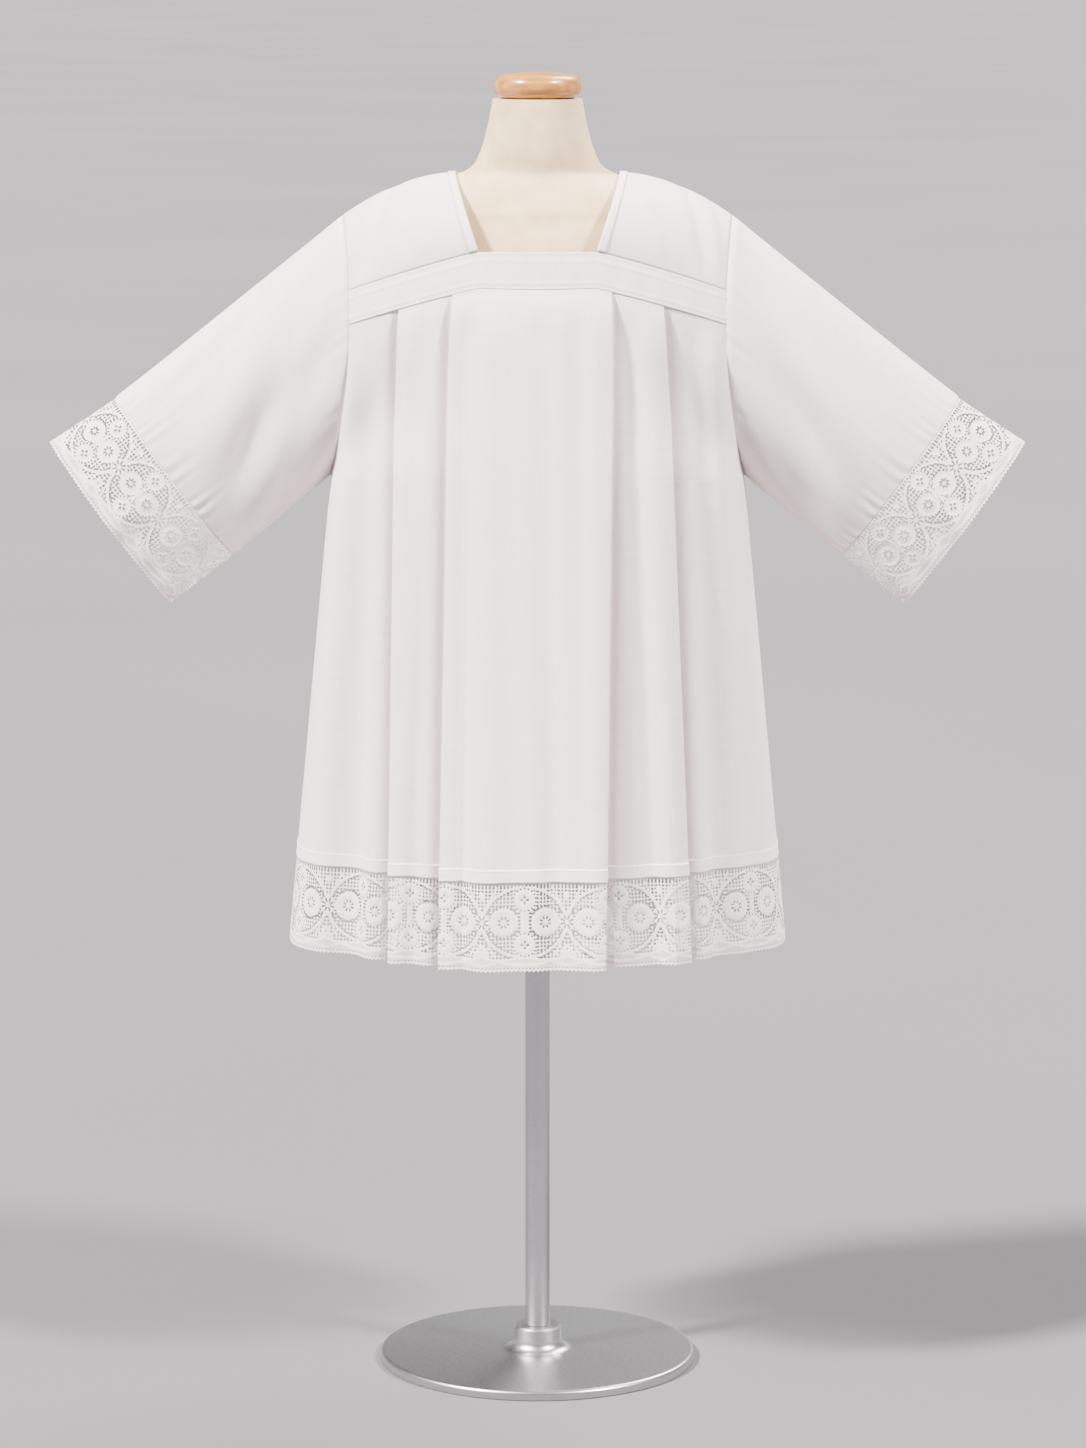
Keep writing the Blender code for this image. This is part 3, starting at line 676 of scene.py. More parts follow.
# %% Pleats and soft folds, as tables
PLEATS = {
    "front": (
        # facing, x at the band, x at the hem, underlap
        (-1, -0.1345, -0.1405, 0.045),
        (-1, -0.082, -0.0905, 0.0148),
        (1, 0.0715, 0.062, 0.028),
        (1, 0.122, 0.1455, 0.037),
    ),
    "back": (
        # facing, x at the band, x at the hem, underlap
        (-1, -0.135, -0.152, 0.026),
        (-1, -0.080, -0.088, 0.026),
        (1, 0.080, 0.088, 0.026),
        (1, 0.135, 0.152, 0.026),
    ),
}
SOFT_FOLDS = {
    "front": (
        # x at the band, x at the hem, half-width, height at the band, height at the hem
        (-0.066, -0.070, 0.0075, -0.0030, -0.0042),
        (-0.048, -0.046, 0.0160, 0.0014, 0.0042),
        (0.004, 0.018, 0.0120, -0.0012, -0.0040),
        (0.040, 0.044, 0.0120, -0.0026, -0.0006),
        (0.052, 0.052, 0.0110, 0.0016, 0.0030),
        (0.085, 0.112, 0.0100, -0.0024, -0.0030),
        (0.104, 0.128, 0.0110, 0.0018, 0.0034),
        (-0.108, -0.120, 0.0100, -0.0016, -0.0030),
        (-0.124, -0.138, 0.0070, 0.0012, 0.0022),
        (-0.163, -0.180, 0.0110, 0.0004, -0.0042),
        (-0.178, -0.212, 0.0100, 0.0014, 0.0034),
        (0.150, 0.176, 0.0090, -0.0012, -0.0040),
        (0.166, 0.200, 0.0110, 0.0020, 0.0044),
    ),
    "back": (
        # x at the band, x at the hem, half-width, height at the band, height at the hem
        (-0.052, -0.062, 0.0120, -0.0018, -0.0038),
        (-0.010, -0.020, 0.0160, 0.0016, 0.0040),
        (0.038, 0.048, 0.0110, -0.0020, -0.0036),
        (-0.110, -0.122, 0.0100, -0.0016, -0.0030),
        (0.108, 0.120, 0.0100, -0.0016, -0.0032),
        (-0.165, -0.190, 0.0110, -0.0018, -0.0040),
        (0.165, 0.188, 0.0110, -0.0018, -0.0040),
    ),
}
PITCH_BAND, PITCH_HEM = 0.0016, 0.0074
CREASE_RADIUS, PLEAT_OPENING = 0.0007, 0.45
DIP_BAND, DIP_HEM, DIP_AWAY, DIP_WIDTH = 0.0045, 0.0085, 0.002, 0.0065
DIP_SHARE = {"front": 1.0, "back": 0.8}
TUCK_SQUEEZE, TUCK_RISE, TUCK_DEPTH, TUCK_FADE, TUCK_ABOVE = 0.85, 0.65, 0.0003, 0.012, 0.003
SOFTNESS = 1.5
SIDE_FOLD, SIDE_FOLD_HALF_WAVES = 0.006, 3
GATHER_STEP, GATHER_HEIGHT, GATHER_FADE, GATHER_START = 0.0105, 0.0007, 0.016, 0.003
PACKED_WITHIN, PACKED_MORE = 0.010, 3.0


def packed(start, end, fold, count):
    """Places from start to end, four times as close beside a fold as far from it."""
    place = np.linspace(start, end, 200)
    density = 1.0 + PACKED_MORE * bell(place - fold, PACKED_WITHIN)
    total = np.cumsum(density) - density[0]
    return np.interp(np.linspace(0, total[-1], count), total, place)


def pleat_path(length, folds, pitch, dip, fine):
    """The (along, out) path of one row: each pleat is a Z of straight runs with tight half turns.

    Beside each folded edge the layer below dips in a bell, so the edge stands clear of it.
    """
    radius = min(CREASE_RADIUS, 0.4 * pitch)
    turn = np.linspace(-math.pi / 2, math.pi / 2, 7)
    halves = []
    for way in (-1, 1):
        edges = sorted((s if way < 0 else length - s, under) for facing, s, under in folds if facing == way)
        along, out, start, dips = [], [], 0.0, []
        for number, (edge, underlap) in enumerate(edges):
            low, high, under = 2 * number * pitch, 2 * (number + 1) * pitch, edge + underlap
            run = packed(start, under - radius, edge, fine[0] if number == 0 else fine[1])[:-1]
            back = np.linspace(under - radius, edge + radius, fine[2])[1:-1]
            slope = np.interp(back, [edge + radius, under - radius], [high - 2 * radius, low + 2 * radius])
            along += [run, under - radius + radius * np.cos(turn)]
            along += [back, edge + radius - radius * np.cos(turn)]
            out += [np.full(len(run), low), low + radius + radius * np.sin(turn)]
            out += [slope, high - radius + radius * np.sin(turn)]
            start = edge + radius
            dips.append((edge - DIP_AWAY, high))
        along, out = np.concatenate(along), np.concatenate(out)
        shares = [np.clip((high - out) / pitch / 2, 0, 1) * bell(along - s, DIP_WIDTH) for s, high in dips]
        halves.append((along, out - dip * sum(shares), start))
    (left, left_out, left_end), (right, right_out, right_end) = halves
    middle = np.linspace(left_end, length - right_end, fine[3])[1:-1]
    top = np.full(len(middle), left_out[-1])
    path = np.concatenate([left, middle, length - right[::-1]])
    return path, np.concatenate([left_out, top, right_out[::-1]])


def soft_folds(x, down, where):
    """Sum of bells across the panel, whose places and heights change from the band to the hem."""
    total = np.zeros_like(x)
    for x_band, x_hem, half_width, high_band, high_hem in SOFT_FOLDS[where]:
        middle = blend(x_band, x_hem, down)
        total += SOFTNESS * blend(high_band, high_hem, down) * bell(x - middle, half_width)
    return total


def pleated_row(step, where, fine):
    """One row of a panel: the plain line, moved outwards by its pleats, soft folds and gathers."""
    line, fade, down = body_row(step, where)
    along = lengths(line[None], 1)[0]
    tangent = np.gradient(line, along, axis=0)
    facing = FACING[where]
    outward = unit(np.stack([-facing * tangent[:, 1], facing * tangent[:, 0], 0 * along], axis=-1))
    below_band = down * (band_foot(np.array(0.0), where)[2] - HEM_Z)
    tuck = math.exp(-below_band / TUCK_FADE)
    pitch = blend(PITCH_BAND, PITCH_HEM, down**PLEAT_OPENING) * (1 - TUCK_SQUEEZE * tuck)
    folds = []
    for way, x_band, x_hem, underlap in PLEATS[where]:
        folds.append((way, np.interp(blend(x_band, x_hem, down), line[:, 0], along), underlap))
    dip = DIP_SHARE[where] * blend(DIP_BAND, DIP_HEM, down**PLEAT_OPENING) * (1 - tuck)
    path, out = pleat_path(along[-1], folds, pitch, dip, fine)
    x = np.interp(path, along, line[:, 0])
    outermost = max(abs(blend(x_band, x_hem, down)) for _, x_band, x_hem, _ in PLEATS[where])
    from_side = np.clip((line[-1, 0] - np.abs(x)) / (line[-1, 0] - outermost), 0, 1)
    sway = SIDE_FOLD * down * np.sin(SIDE_FOLD_HALF_WAVES * math.pi * from_side)
    sway *= out < pitch / 4
    sink = PITCH_BAND * fade * smooth(from_side) * (1 - TUCK_RISE * tuck) + TUCK_DEPTH * tuck
    gather = GATHER_HEIGHT * np.sin(TAU * path / GATHER_STEP + 2.4 * np.sin(71 * path))
    gather *= (0.5 + 0.5 * np.sin(163 * path + 1)) * smooth(below_band / GATHER_START)
    gather *= np.exp(-below_band / GATHER_FADE)
    soft = soft_folds(x, down, where) * smooth(below_band / 0.05) * smooth(from_side / 0.25)
    total = out - sink + sway + gather + soft
    return sampled(path, along, line) + unit(sampled(path, along, outward)) * total[:, None]


def panel_grid(where, steps, fine=(34, 22, 8, 56)):
    """A pleated panel as a grid: one row for each step down the body."""
    return np.array([pleated_row(step, where, fine) for step in steps])


def ends_in(points, amount):
    """Draws the two side edges of a grid inwards along its rows, to leave the seam's gap."""
    for end, inner in ((0, 1), (-1, -2)):
        points[:, end] += unit(points[:, inner] - points[:, end]) * amount
    return points


# %% Body panels
def make_panel(where):
    """One body panel from the band to the lace, in place of its plain solid."""
    seam = side_step(LACE_SEAM_Z)
    steps = np.concatenate([np.linspace(0, 1, 32)[:-1], np.linspace(1, seam, 36)])
    points = panel_grid(where, steps)
    tucked = points[:1] + (0.0, -FACING[where] * TUCK_ABOVE * BAND_LEAN / BAND_HEIGHT, TUCK_ABOVE)
    points = ends_in(np.concatenate([tucked, points]), SEAM_GAP / 2)
    made = surface(f"{where}_panel_cloth", points, cotton, WALL)
    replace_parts(made, f"body_{where}")
    declare_sheet(made, points)


for where in ("front", "back"):
    make_panel(where)

# %% [markdown]
# The sleeve is a straight wide tube. It hangs from the shoulder, so its cloth drops into folds
# that start near the armhole and run down towards the underside. The tube is ruled: a straight
# line from each point of the armhole to the same point of the cuff ring, with the folds added.

# %% Sleeves
SLEEVE_SLOPE = math.radians(36.5)
CUFF_SEAM_CENTRE, CUFF_END_CENTRE = (0.3587, 0.9025), (0.4238, 0.8548)
CUFF_SEAM_HALF_WIDTH, CUFF_END_HALF_WIDTH, CUFF_HALF_DEPTH = 0.0968, 0.0986, 0.042
SLEEVE_FOLD, SLEEVE_FOLDS_ROUND, SLEEVE_FOLD_DRIFT = 0.0026, 7, math.radians(40)
PUCKER, CUFF_PUCKERS, ARMHOLE_PUCKERS = 0.0026, 46.0, 40.0
CUFF_PUCKER_REACH, ARMHOLE_PUCKER_REACH = 0.055, 0.05
SLEEVE_CREASES = (
    # side, from (share along, angle), to (share along, angle), half-width, height in metres
    (-1, (0.17, 0.77), (0.79, 2.24), 0.16, -0.0060),
    (-1, (0.30, 0.66), (0.92, 2.10), 0.14, 0.0040),
    (-1, (0.06, 1.28), (0.38, 2.17), 0.13, -0.0050),
    (-1, (0.22, 0.47), (0.90, 0.84), 0.12, -0.0030),
    (1, (0.00, 0.25), (0.67, 1.42), 0.15, -0.0050),
    (1, (0.05, 0.50), (0.59, 2.24), 0.15, -0.0055),
    (1, (0.16, 0.45), (0.80, 1.95), 0.13, 0.0035),
    (-1, (0.10, 5.30), (0.70, 4.10), 0.16, -0.0050),
    (1, (0.10, 5.20), (0.75, 4.00), 0.16, -0.0050),
)


def cuff_ring(centre, half_width, angle, side):
    """A ring square to the sleeve's axis: a cosine up across it and a sine in depth."""
    up = np.array([math.sin(SLEEVE_SLOPE), 0.0, math.cos(SLEEVE_SLOPE)])
    middle = np.array([centre[0], 0.0, centre[1]])
    angle = np.asarray(angle, float)[..., None]
    depth = np.array([0.0, -CUFF_HALF_DEPTH, 0.0])
    return (middle + half_width * np.cos(angle) * up + np.sin(angle) * depth) * (side, 1, 1)


def sleeve_grid(side, angle, along):
    """The ruled tube with a standing wave round it, its creases, and puckers at both seams."""
    near = armhole(angle, side)[None]
    far = cuff_ring(CUFF_SEAM_CENTRE, CUFF_SEAM_HALF_WIDTH, angle, side)[None]
    middle = (near + far) / 2
    outward = unit(middle - middle.mean(axis=1, keepdims=True))
    t, a = np.meshgrid(along, angle, indexing="ij")
    from_top = np.minimum(a, TAU - a)
    wave = np.cos(SLEEVE_FOLDS_ROUND * (from_top - SLEEVE_FOLD_DRIFT * t))
    swell = SLEEVE_FOLD * np.sin(math.pi * t) * np.sin(a) ** 2 * wave
    rows = [row[1:] for row in SLEEVE_CREASES if row[0] == side]
    arch = np.sin(math.pi * np.clip(t, 0, 1))
    swell += creases(t, a, rows) * arch**0.5
    uneven = np.clip(0.6 + 0.6 * np.sin(from_top * 13.0 + 1), 0, 1)
    at_cuff = np.sin(from_top * CUFF_PUCKERS + 2 * np.sin(from_top * 7))
    at_armhole = np.sin(from_top * ARMHOLE_PUCKERS + 2 * np.sin(from_top * 5))
    pucker = at_cuff * np.exp(-(1 - t) / CUFF_PUCKER_REACH) * uneven
    pucker += 0.6 * at_armhole * np.exp(-t / ARMHOLE_PUCKER_REACH) * uneven
    swell += PUCKER * pucker * arch**0.3
    reach = np.linalg.norm(far - near, axis=-1)
    points = near + t[..., None] * (far - near) + outward * swell[..., None]
    return points + (far - near) * (SEAM_GAP / reach * (1 - t) ** 4)[..., None]


def make_sleeve(side, hand):
    """One sleeve, from just off the armhole to the cuff seam."""
    angle = np.linspace(0, TAU, 300, endpoint=False)
    points = sleeve_grid(side, angle, np.sin(np.linspace(0, math.pi / 2, 46)))
    points = points if side > 0 else points[:, ::-1]
    made = surface(f"sleeve_{hand}_cloth", points, cotton, WALL, closed=True)
    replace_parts(made, f"sleeve_{hand}")
    declare_sheet(made, points, closed=True)


for side, hand in HANDS:
    make_sleeve(side, hand)

# %% [markdown]
# The lace is drawn as one formula of two flat coordinates in millimetres, u along it and v down
# from the seam. The formula is a height: above zero there is thread, and below zero there is a
# hole. Motifs are joined by taking the greater of two heights, and holes are cut by taking the
# lesser. Around each medallion two big rosettes and two small ones sit inside an oval cord, on a
# square net. Below it lie sheer leaves under a scalloped cord, with a fine looped edge.

# %% The lace's formula, with every length in millimetres
NET_STEP, NET_HOLE = 3.6, 1.3
DOT_RADIUS, OVAL_DOT_STEP, EDGE_DOT_STEP = 1.25, 3.7, 3.6
CHART_NAMES = (
    "depth", "repeat", "middle", "ring_half_height", "rosette_at",
    "rosette_radius", "rosette_dots", "small_at", "small_radius", "bar",
)
HEM_CHART = dict(zip(CHART_NAMES, (88.0, 84.0, 39.5, 35.0, 20.5, 13.6, 26, 22.0, 9.6, 2.2)))
CUFF_CHART = dict(zip(CHART_NAMES, (80.8, 64.7, 35.5, 32.0, 13.2, 11.4, 22, 20.8, 8.6, 1.2)))


def petals(u, v, u0, v0, count, ring, long, wide, turn=0.0):
    """Height outside a ring of petal-shaped holes: below zero inside each of them."""
    angle = np.arctan2(v - v0, u - u0) + turn
    radius = np.hypot(u - u0, v - v0)
    folded = np.mod(angle, TAU / count) - math.pi / count
    across, out = radius * np.sin(folded), radius * np.cos(folded) - ring
    return (np.hypot(out / long, across / wide) - 1.0) * min(long, wide)


def cord(distance, half_width):
    """Height of a cord: its half-width less the distance from its middle line."""
    return half_width - np.abs(distance)


def dots_along(place, distance, step, radius):
    """Height outside a row of round holes, at each step along a line."""
    along = np.mod(place, step) - step / 2
    return np.hypot(along, distance) - radius


def lace_height(u, v, chart):
    """The whole lace. Returns heights in mm, and how sheer each place is. Lengths are in mm.

    Across is the distance from a medallion's upright middle line, and far is that from the line
    where two medallions meet. Below is the distance under the medallions' middle.
    """
    repeat, depth, radius = chart["repeat"], chart["depth"], chart["rosette_radius"]
    across = np.abs(np.mod(u + repeat / 2, repeat) - repeat / 2)
    far = repeat / 2 - across
    below = v - chart["middle"]
    cell_u, cell_v = (np.mod(c, NET_STEP) - NET_STEP / 2 for c in (u + 90 * NET_STEP, v))
    net = (np.abs(cell_u) ** 3 + np.abs(cell_v) ** 3) ** (1 / 3) - NET_HOLE

    half_width, half_height = repeat / 2, chart["ring_half_height"]
    mean = (half_width + half_height) / 2
    from_oval = (np.hypot(across / half_width, below / half_height) - 1.0) * mean
    round_oval = np.arctan2(below / half_height, across / half_width) * mean
    step = TAU * mean / 4 / round(TAU * mean / 4 / OVAL_DOT_STEP)
    height = np.minimum(net, dots_along(round_oval, from_oval + 3.4, step, DOT_RADIUS))
    height = np.maximum(height, cord(from_oval + 1.0, 1.2))
    outer_dots = dots_along(round_oval, from_oval - 1.9, step, DOT_RADIUS)
    height = np.minimum(height, np.where(below > 0, outer_dots, 9.0))

    rosette = chart["rosette_at"]
    rim = np.hypot(across - rosette, below)
    turn = np.arctan2(below, across - rosette)
    ring = radius + 1.8
    rim_step = TAU * ring / chart["rosette_dots"]
    height = np.minimum(height, dots_along(turn * ring, rim - ring, rim_step, DOT_RADIUS))
    height = np.maximum(height, radius - rim)
    height = np.minimum(height, petals(across, below, rosette, 0.0, 8, 0.34 * radius, 2.0, 1.1))

    bar = chart["bar"] + 0.006 * below**2 - across
    height = np.maximum(height, np.where(np.abs(below) < chart["small_at"], bar, -9.0))
    small_below = np.abs(below) - chart["small_at"]
    small_rim = np.hypot(across, small_below)
    small_turn = np.arctan2(small_below, across)
    ring = chart["small_radius"] + 1.5
    edge_dots = dots_along(small_turn * ring, small_rim - ring, TAU * ring / 18, 1.15)
    height = np.where(np.abs(small_rim - ring) < 1.6, np.minimum(np.maximum(height, 0.5), edge_dots), height)
    height = np.maximum(height, chart["small_radius"] - small_rim)
    height = np.minimum(height, petals(across, small_below, 0.0, 0.0, 4, 2.9, 1.8, 1.3, math.pi / 4))

    upper = cord(far - np.abs(below + 6.5) * 0.52, 0.8) - np.maximum(0, below + 6.5)
    lower = cord(far - np.abs(below - 6.5) * 0.46, 0.8)
    lower = lower - np.maximum(0, 6.5 - below) - np.maximum(0, below - 32.5)
    height = np.maximum(height, np.maximum(upper, lower))
    diamond = 3.9 - far - np.abs(below + 25.5) * 0.85
    trefoil = np.maximum(4.4 - np.hypot(far, below - 27.0), 2.4 - np.hypot(far - 5.0, below - 30.5))
    height = np.maximum(height, np.maximum(diamond, trefoil))
    height = np.minimum(height, np.hypot(far, below - 26.5) - 1.1)
    star = petals(far, below, 0.0, 0.0, 8, 5.0, 3.0, 1.0)
    height = np.where(np.hypot(far, below) < 8.5, np.minimum(np.maximum(height, 0.6), star), height)

    reach = across / (repeat / 2)
    scallop_low = depth - 6.5 - 9.0 * reach**2
    scallop_high = depth - 13.5 + 8.0 * reach**1.6
    leaf = smooth(v - np.minimum(scallop_high, scallop_low))
    height = np.where(leaf > 0.5, np.maximum(height, 0.5), height)
    sheer = leaf.copy()
    for line, half in ((scallop_low, 1.5), (scallop_high, 1.1)):
        height = np.maximum(height, cord(v - line, half))
        sheer = np.where(np.abs(v - line) < half, 0.0, sheer)
    height = np.minimum(height, dots_along(u, v - depth + 3.8, EDGE_DOT_STEP, 0.9))

    height = np.where(v < 5.2, dots_along(u, v - 3.4, EDGE_DOT_STEP, 1.3), height)
    edge = depth - 0.9 + 0.8 * np.cos(TAU * u / 4.2) - v
    sheer = np.where(edge < 1.6, 0.0, sheer)
    return np.minimum(height, edge), sheer


# %% [markdown]
# The lace sheet starts as a fine grid over the same pleated path as the cloth. Each cell is cut
# in two triangles, and a triangle that lies partly in a hole is clipped where the formula crosses
# zero. All the triangles are clipped together, sorted by how many of their corners are thread.

# %% Clipping a grid to the thread
LACE_STEP, LACE_RELIEF = 0.00107, 0.00035


def clipped(height, closed):
    """Triangles of the part of a grid above zero. Points are given as two corners and a share."""
    rows, columns = height.shape
    a, d, c, b = grid_faces(rows, columns, closed).T
    checks = np.add.outer(np.arange(rows - 1), np.arange(len(a) // (rows - 1)))
    even = (checks % 2 == 0).reshape(-1, 1)
    first = np.where(even, np.stack([a, d, c], -1), np.stack([a, d, b], -1))
    second = np.where(even, np.stack([a, c, b], -1), np.stack([b, d, c], -1))
    corners = np.concatenate([first, second])
    value = height.ravel()
    thread = value[corners] > 0
    count = thread.sum(axis=1)

    def turned(chosen, leader):
        """The chosen triangles, each turned so that its leading corner comes first."""
        start = leader.argmax(axis=1)[:, None]
        return np.take_along_axis(chosen, (start + np.arange(3)) % 3, axis=1)

    whole = corners[count == 3]
    tip = turned(corners[count == 1], thread[count == 1])
    base = turned(corners[count == 2], ~thread[count == 2])
    ends = [tip[:, [0, 1]], tip[:, [0, 2]], base[:, [1, 0]], base[:, [2, 0]]]
    pairs, place = np.unique(np.concatenate(ends), axis=0, return_inverse=True)
    place = place.reshape(-1) + value.size
    n, m = len(tip), len(base)
    tip_q, tip_r, base_q, base_r = np.split(place, [n, 2 * n, 2 * n + m])
    cut = ((tip[:, 0], tip_q, tip_r), (base_q, base[:, 1], base[:, 2]), (base_q, base[:, 2], base_r))
    faces = np.concatenate([whole] + [np.stack(three, -1) for three in cut])
    share = value[pairs[:, 0]] / (value[pairs[:, 0]] - value[pairs[:, 1]])
    low = np.concatenate([np.arange(value.size), pairs[:, 0]])
    high = np.concatenate([np.arange(value.size), pairs[:, 1]])
    share = np.concatenate([np.zeros(value.size), share])
    used, faces = np.unique(faces, return_inverse=True)
    return low[used], high[used], share[used], faces.reshape(-1, 3)


def lace_sheet(name, points, chart, middle, closed, flip=False):
    """Lace over a grid of points whose rows run along it: holes cut through, and motifs raised."""
    rows, columns = points.shape[:2]
    length = lengths(joined_up(points) if closed else points, 1)[:, -1].mean() * 1000
    u = (np.arange(columns) - middle) / (columns if closed else columns - 1) * length
    u, v = np.meshgrid(u, np.linspace(0, chart["depth"] + 0.6, rows))
    height, sheer = lace_height(u, v, chart)
    outward = grid_normals(points, closed) * (-1.0 if flip else 1.0)
    raised = LACE_RELIEF * smooth(height / 1.6) * (1 - 0.8 * sheer)
    points = points + outward * raised[..., None]
    low, high, share, faces = clipped(height, closed)
    faces = faces[:, ::-1] if flip else faces

    def at(field):
        """A grid's field carried to the clipped sheet's own points."""
        field = field.reshape(rows * columns, -1)
        return blend(field[low], field[high], share[:, None])

    flat = np.stack([at(u)[:, 0], -at(v)[:, 0]], axis=-1) / 1000
    made = piece_of(name, at(points), faces.tolist(), flat, lace_finish)
    tone = made.data.attributes.new("sheer", "FLOAT", "POINT")
    tone.data.foreach_set("value", at(sheer)[:, 0].astype(np.float32))
    print(f"{name}: {len(faces)} triangles, {100 * (height > 0).mean():.0f} % thread")
    return made, float((height > 0).mean())


def resampled(points, columns):
    """Rows of points made again with evenly spaced columns."""
    runs = zip(points, lengths(points, 1))
    return np.array([sampled(np.linspace(0, along[-1], columns), along, line) for line, along in runs])


# %% Hem lace
HEM_MIDDLE_X = {"front": -0.012, "back": 0.0}


def make_hem_lace(where):
    """The lace under one body panel, on the panel's own pleats."""
    rows = round(HEM_CHART["depth"] / 1000 / LACE_STEP) + 1
    heights = np.linspace(LACE_SEAM_Z, HEM_Z, rows)
    points = ends_in(panel_grid(where, [side_step(z) for z in heights]), SEAM_GAP / 2)
    columns = round(lengths(points, 1)[:, -1].mean() / LACE_STEP) + 1
    points = resampled(points, columns)
    middle = np.abs(points[rows // 2, :, 0] - HEM_MIDDLE_X[where]).argmin()
    name, flip = f"{where}_hem_lace", where == "back"
    made, share = lace_sheet(name, points, HEM_CHART, middle, closed=False, flip=flip)
    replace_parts(made, f"hem_lace_{where}")
    declare_sheet(made, points, share=share)


for where in ("front", "back"):
    make_hem_lace(where)

# %% Cuff lace
CUFF_REPEATS = 7
CUFF_MIDDLE_SHARE = 0.729
CUFF_WAVE, CUFF_RIPPLE = 0.0022, 0.0010


def cuff_grid(side, angle, along):
    """The lace's tube: straight from the cuff seam's ring to the sleeve's end ring, with a soft wave."""
    seam = cuff_ring(CUFF_SEAM_CENTRE, CUFF_SEAM_HALF_WIDTH, angle, side)[None]
    end = cuff_ring(CUFF_END_CENTRE, CUFF_END_HALF_WIDTH, angle, side)[None]
    axis = unit((end - seam).mean(axis=1, keepdims=True))
    middle = seam.mean(axis=1, keepdims=True)
    outward = unit(seam - middle - axis * ((seam - middle) * axis).sum(axis=-1, keepdims=True))
    wave = CUFF_WAVE * np.sin(angle * 5 + 0.6)[None] * along[:, None]
    wave = wave + CUFF_RIPPLE * np.sin(angle * 13)[None] * along[:, None]
    return blend(seam, end, along[:, None, None]) + outward * wave[..., None]


def make_cuff_lace(side, hand):
    """The lace at one cuff, worked round from the underside."""
    rows = round(CUFF_CHART["depth"] / 1000 / LACE_STEP) + 1
    angle = math.pi + np.linspace(0, TAU, 2000, endpoint=False)
    points = joined_up(cuff_grid(side, angle, np.linspace(0.0, 1.0, rows)))
    round_it = lengths(points, 1)[:, -1].mean()
    columns = round(round_it / LACE_STEP)
    points = resampled(points, columns + 1)[:, :-1]
    chart = {**CUFF_CHART, "repeat": round_it * 1000 / CUFF_REPEATS}
    middle = CUFF_MIDDLE_SHARE * columns
    made, share = lace_sheet(f"cuff_{hand}_lace", points, chart, middle, closed=True, flip=side < 0)
    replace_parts(made, f"cuff_lace_{hand}")
    declare_sheet(made, points, closed=True, share=share)


for side, hand in HANDS:
    make_cuff_lace(side, hand)

# %% [markdown]
# Where the lace joins, the cloth is turned up and sewn down twice, so a whiter strip of double
# cloth shows above the lace. The neck's side edges are bound with a narrow strip too. Each strip
# is made from its panel's own points, moved out by a little more than the wall.

# %% Turned hems, bindings and their stitches
SLEEVE_LENGTH, HEM_STRIP, HEM_OVERLAP, CUFF_LIFT = 0.235, 0.012, 0.0015, 0.0004
STRIP_LIFT, STRIP_WALL, STRIP_STITCH_LIFT = 0.0007, 0.0005, 0.0001
NECK_LIFT, ARMHOLE_STRIP, BINDING_WIDTH, BINDING_MARGIN = 0.0004, 0.010, 0.064, 0.01
TURNED_HEM_ROWS, BINDING_ROWS, ARMHOLE_ROWS = (0.12, 0.9), (0.1,), (0.8,)


def lifted(points, amount, closed, sign):
    """A grid moved along its own normals."""
    return points + grid_normals(points, closed) * amount * sign


def strip_with_stitches(name, points, closed, sign, rows, lift=STRIP_LIFT):
    """A strip of double cloth lifted off its panel, with rows of stitches at shares of its width."""
    raised = lifted(points, lift, closed, sign)
    made = surface(name, raised, hem_cotton, STRIP_WALL, closed)
    outward = grid_normals(raised, closed) * sign
    picked = [round(share * (len(points) - 1)) for share in rows]
    sewing = [raised[row] + outward[row] * (STRIP_WALL / 2 + STRIP_STITCH_LIFT) for row in picked]
    stitches(f"{name}_stitches", sewing, [outward[row] for row in picked])
    declare_sheet(made, raised, closed)


for where in ("front", "back"):
    heights = np.linspace(LACE_SEAM_Z + HEM_STRIP, LACE_SEAM_Z - HEM_OVERLAP, 9)
    hem_points = ends_in(panel_grid(where, [side_step(z) for z in heights]), 2 * SEAM_GAP)
    strip_with_stitches(f"{where}_turned_hem", hem_points, False, -FACING[where], TURNED_HEM_ROWS)

for side, hand in HANDS:
    angle = np.linspace(0, TAU, 320, endpoint=False)
    cuff_points = sleeve_grid(side, angle, np.linspace(1 - HEM_STRIP / SLEEVE_LENGTH, 1.004, 8))
    strip_with_stitches(f"cuff_{hand}_turned_hem", cuff_points, True, float(side), TURNED_HEM_ROWS, CUFF_LIFT)

for side, hand in HANDS:
    turn = np.linspace(-math.pi / 2 + BINDING_MARGIN, math.pi / 2 - BINDING_MARGIN, 90)
    edge = shoulder_grid(side, np.linspace(0.001, BINDING_WIDTH, 6), turn).transpose(1, 0, 2)
    under = lifted(edge, 2 * NECK_LIFT, False, -float(side))
    neck_points = np.concatenate([edge[::-1], under])
    strip_with_stitches(f"neck_{hand}_binding", neck_points, False, -float(side), BINDING_ROWS, NECK_LIFT)

for side, hand in HANDS:
    angle = np.linspace(0, TAU, 200, endpoint=False)
    seam_points = sleeve_grid(side, angle, np.linspace(-0.004, ARMHOLE_STRIP / SLEEVE_LENGTH, 6))
    strip_with_stitches(f"armhole_{hand}_seam", seam_points, True, float(side), ARMHOLE_ROWS)

# %% [markdown]
# The form's cover is a smooth closed body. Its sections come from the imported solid's own table,
# and a cubic that never overshoots joins them, so the cover stays under the yoke. The turned
# pieces are profiles carried round the upright axis.

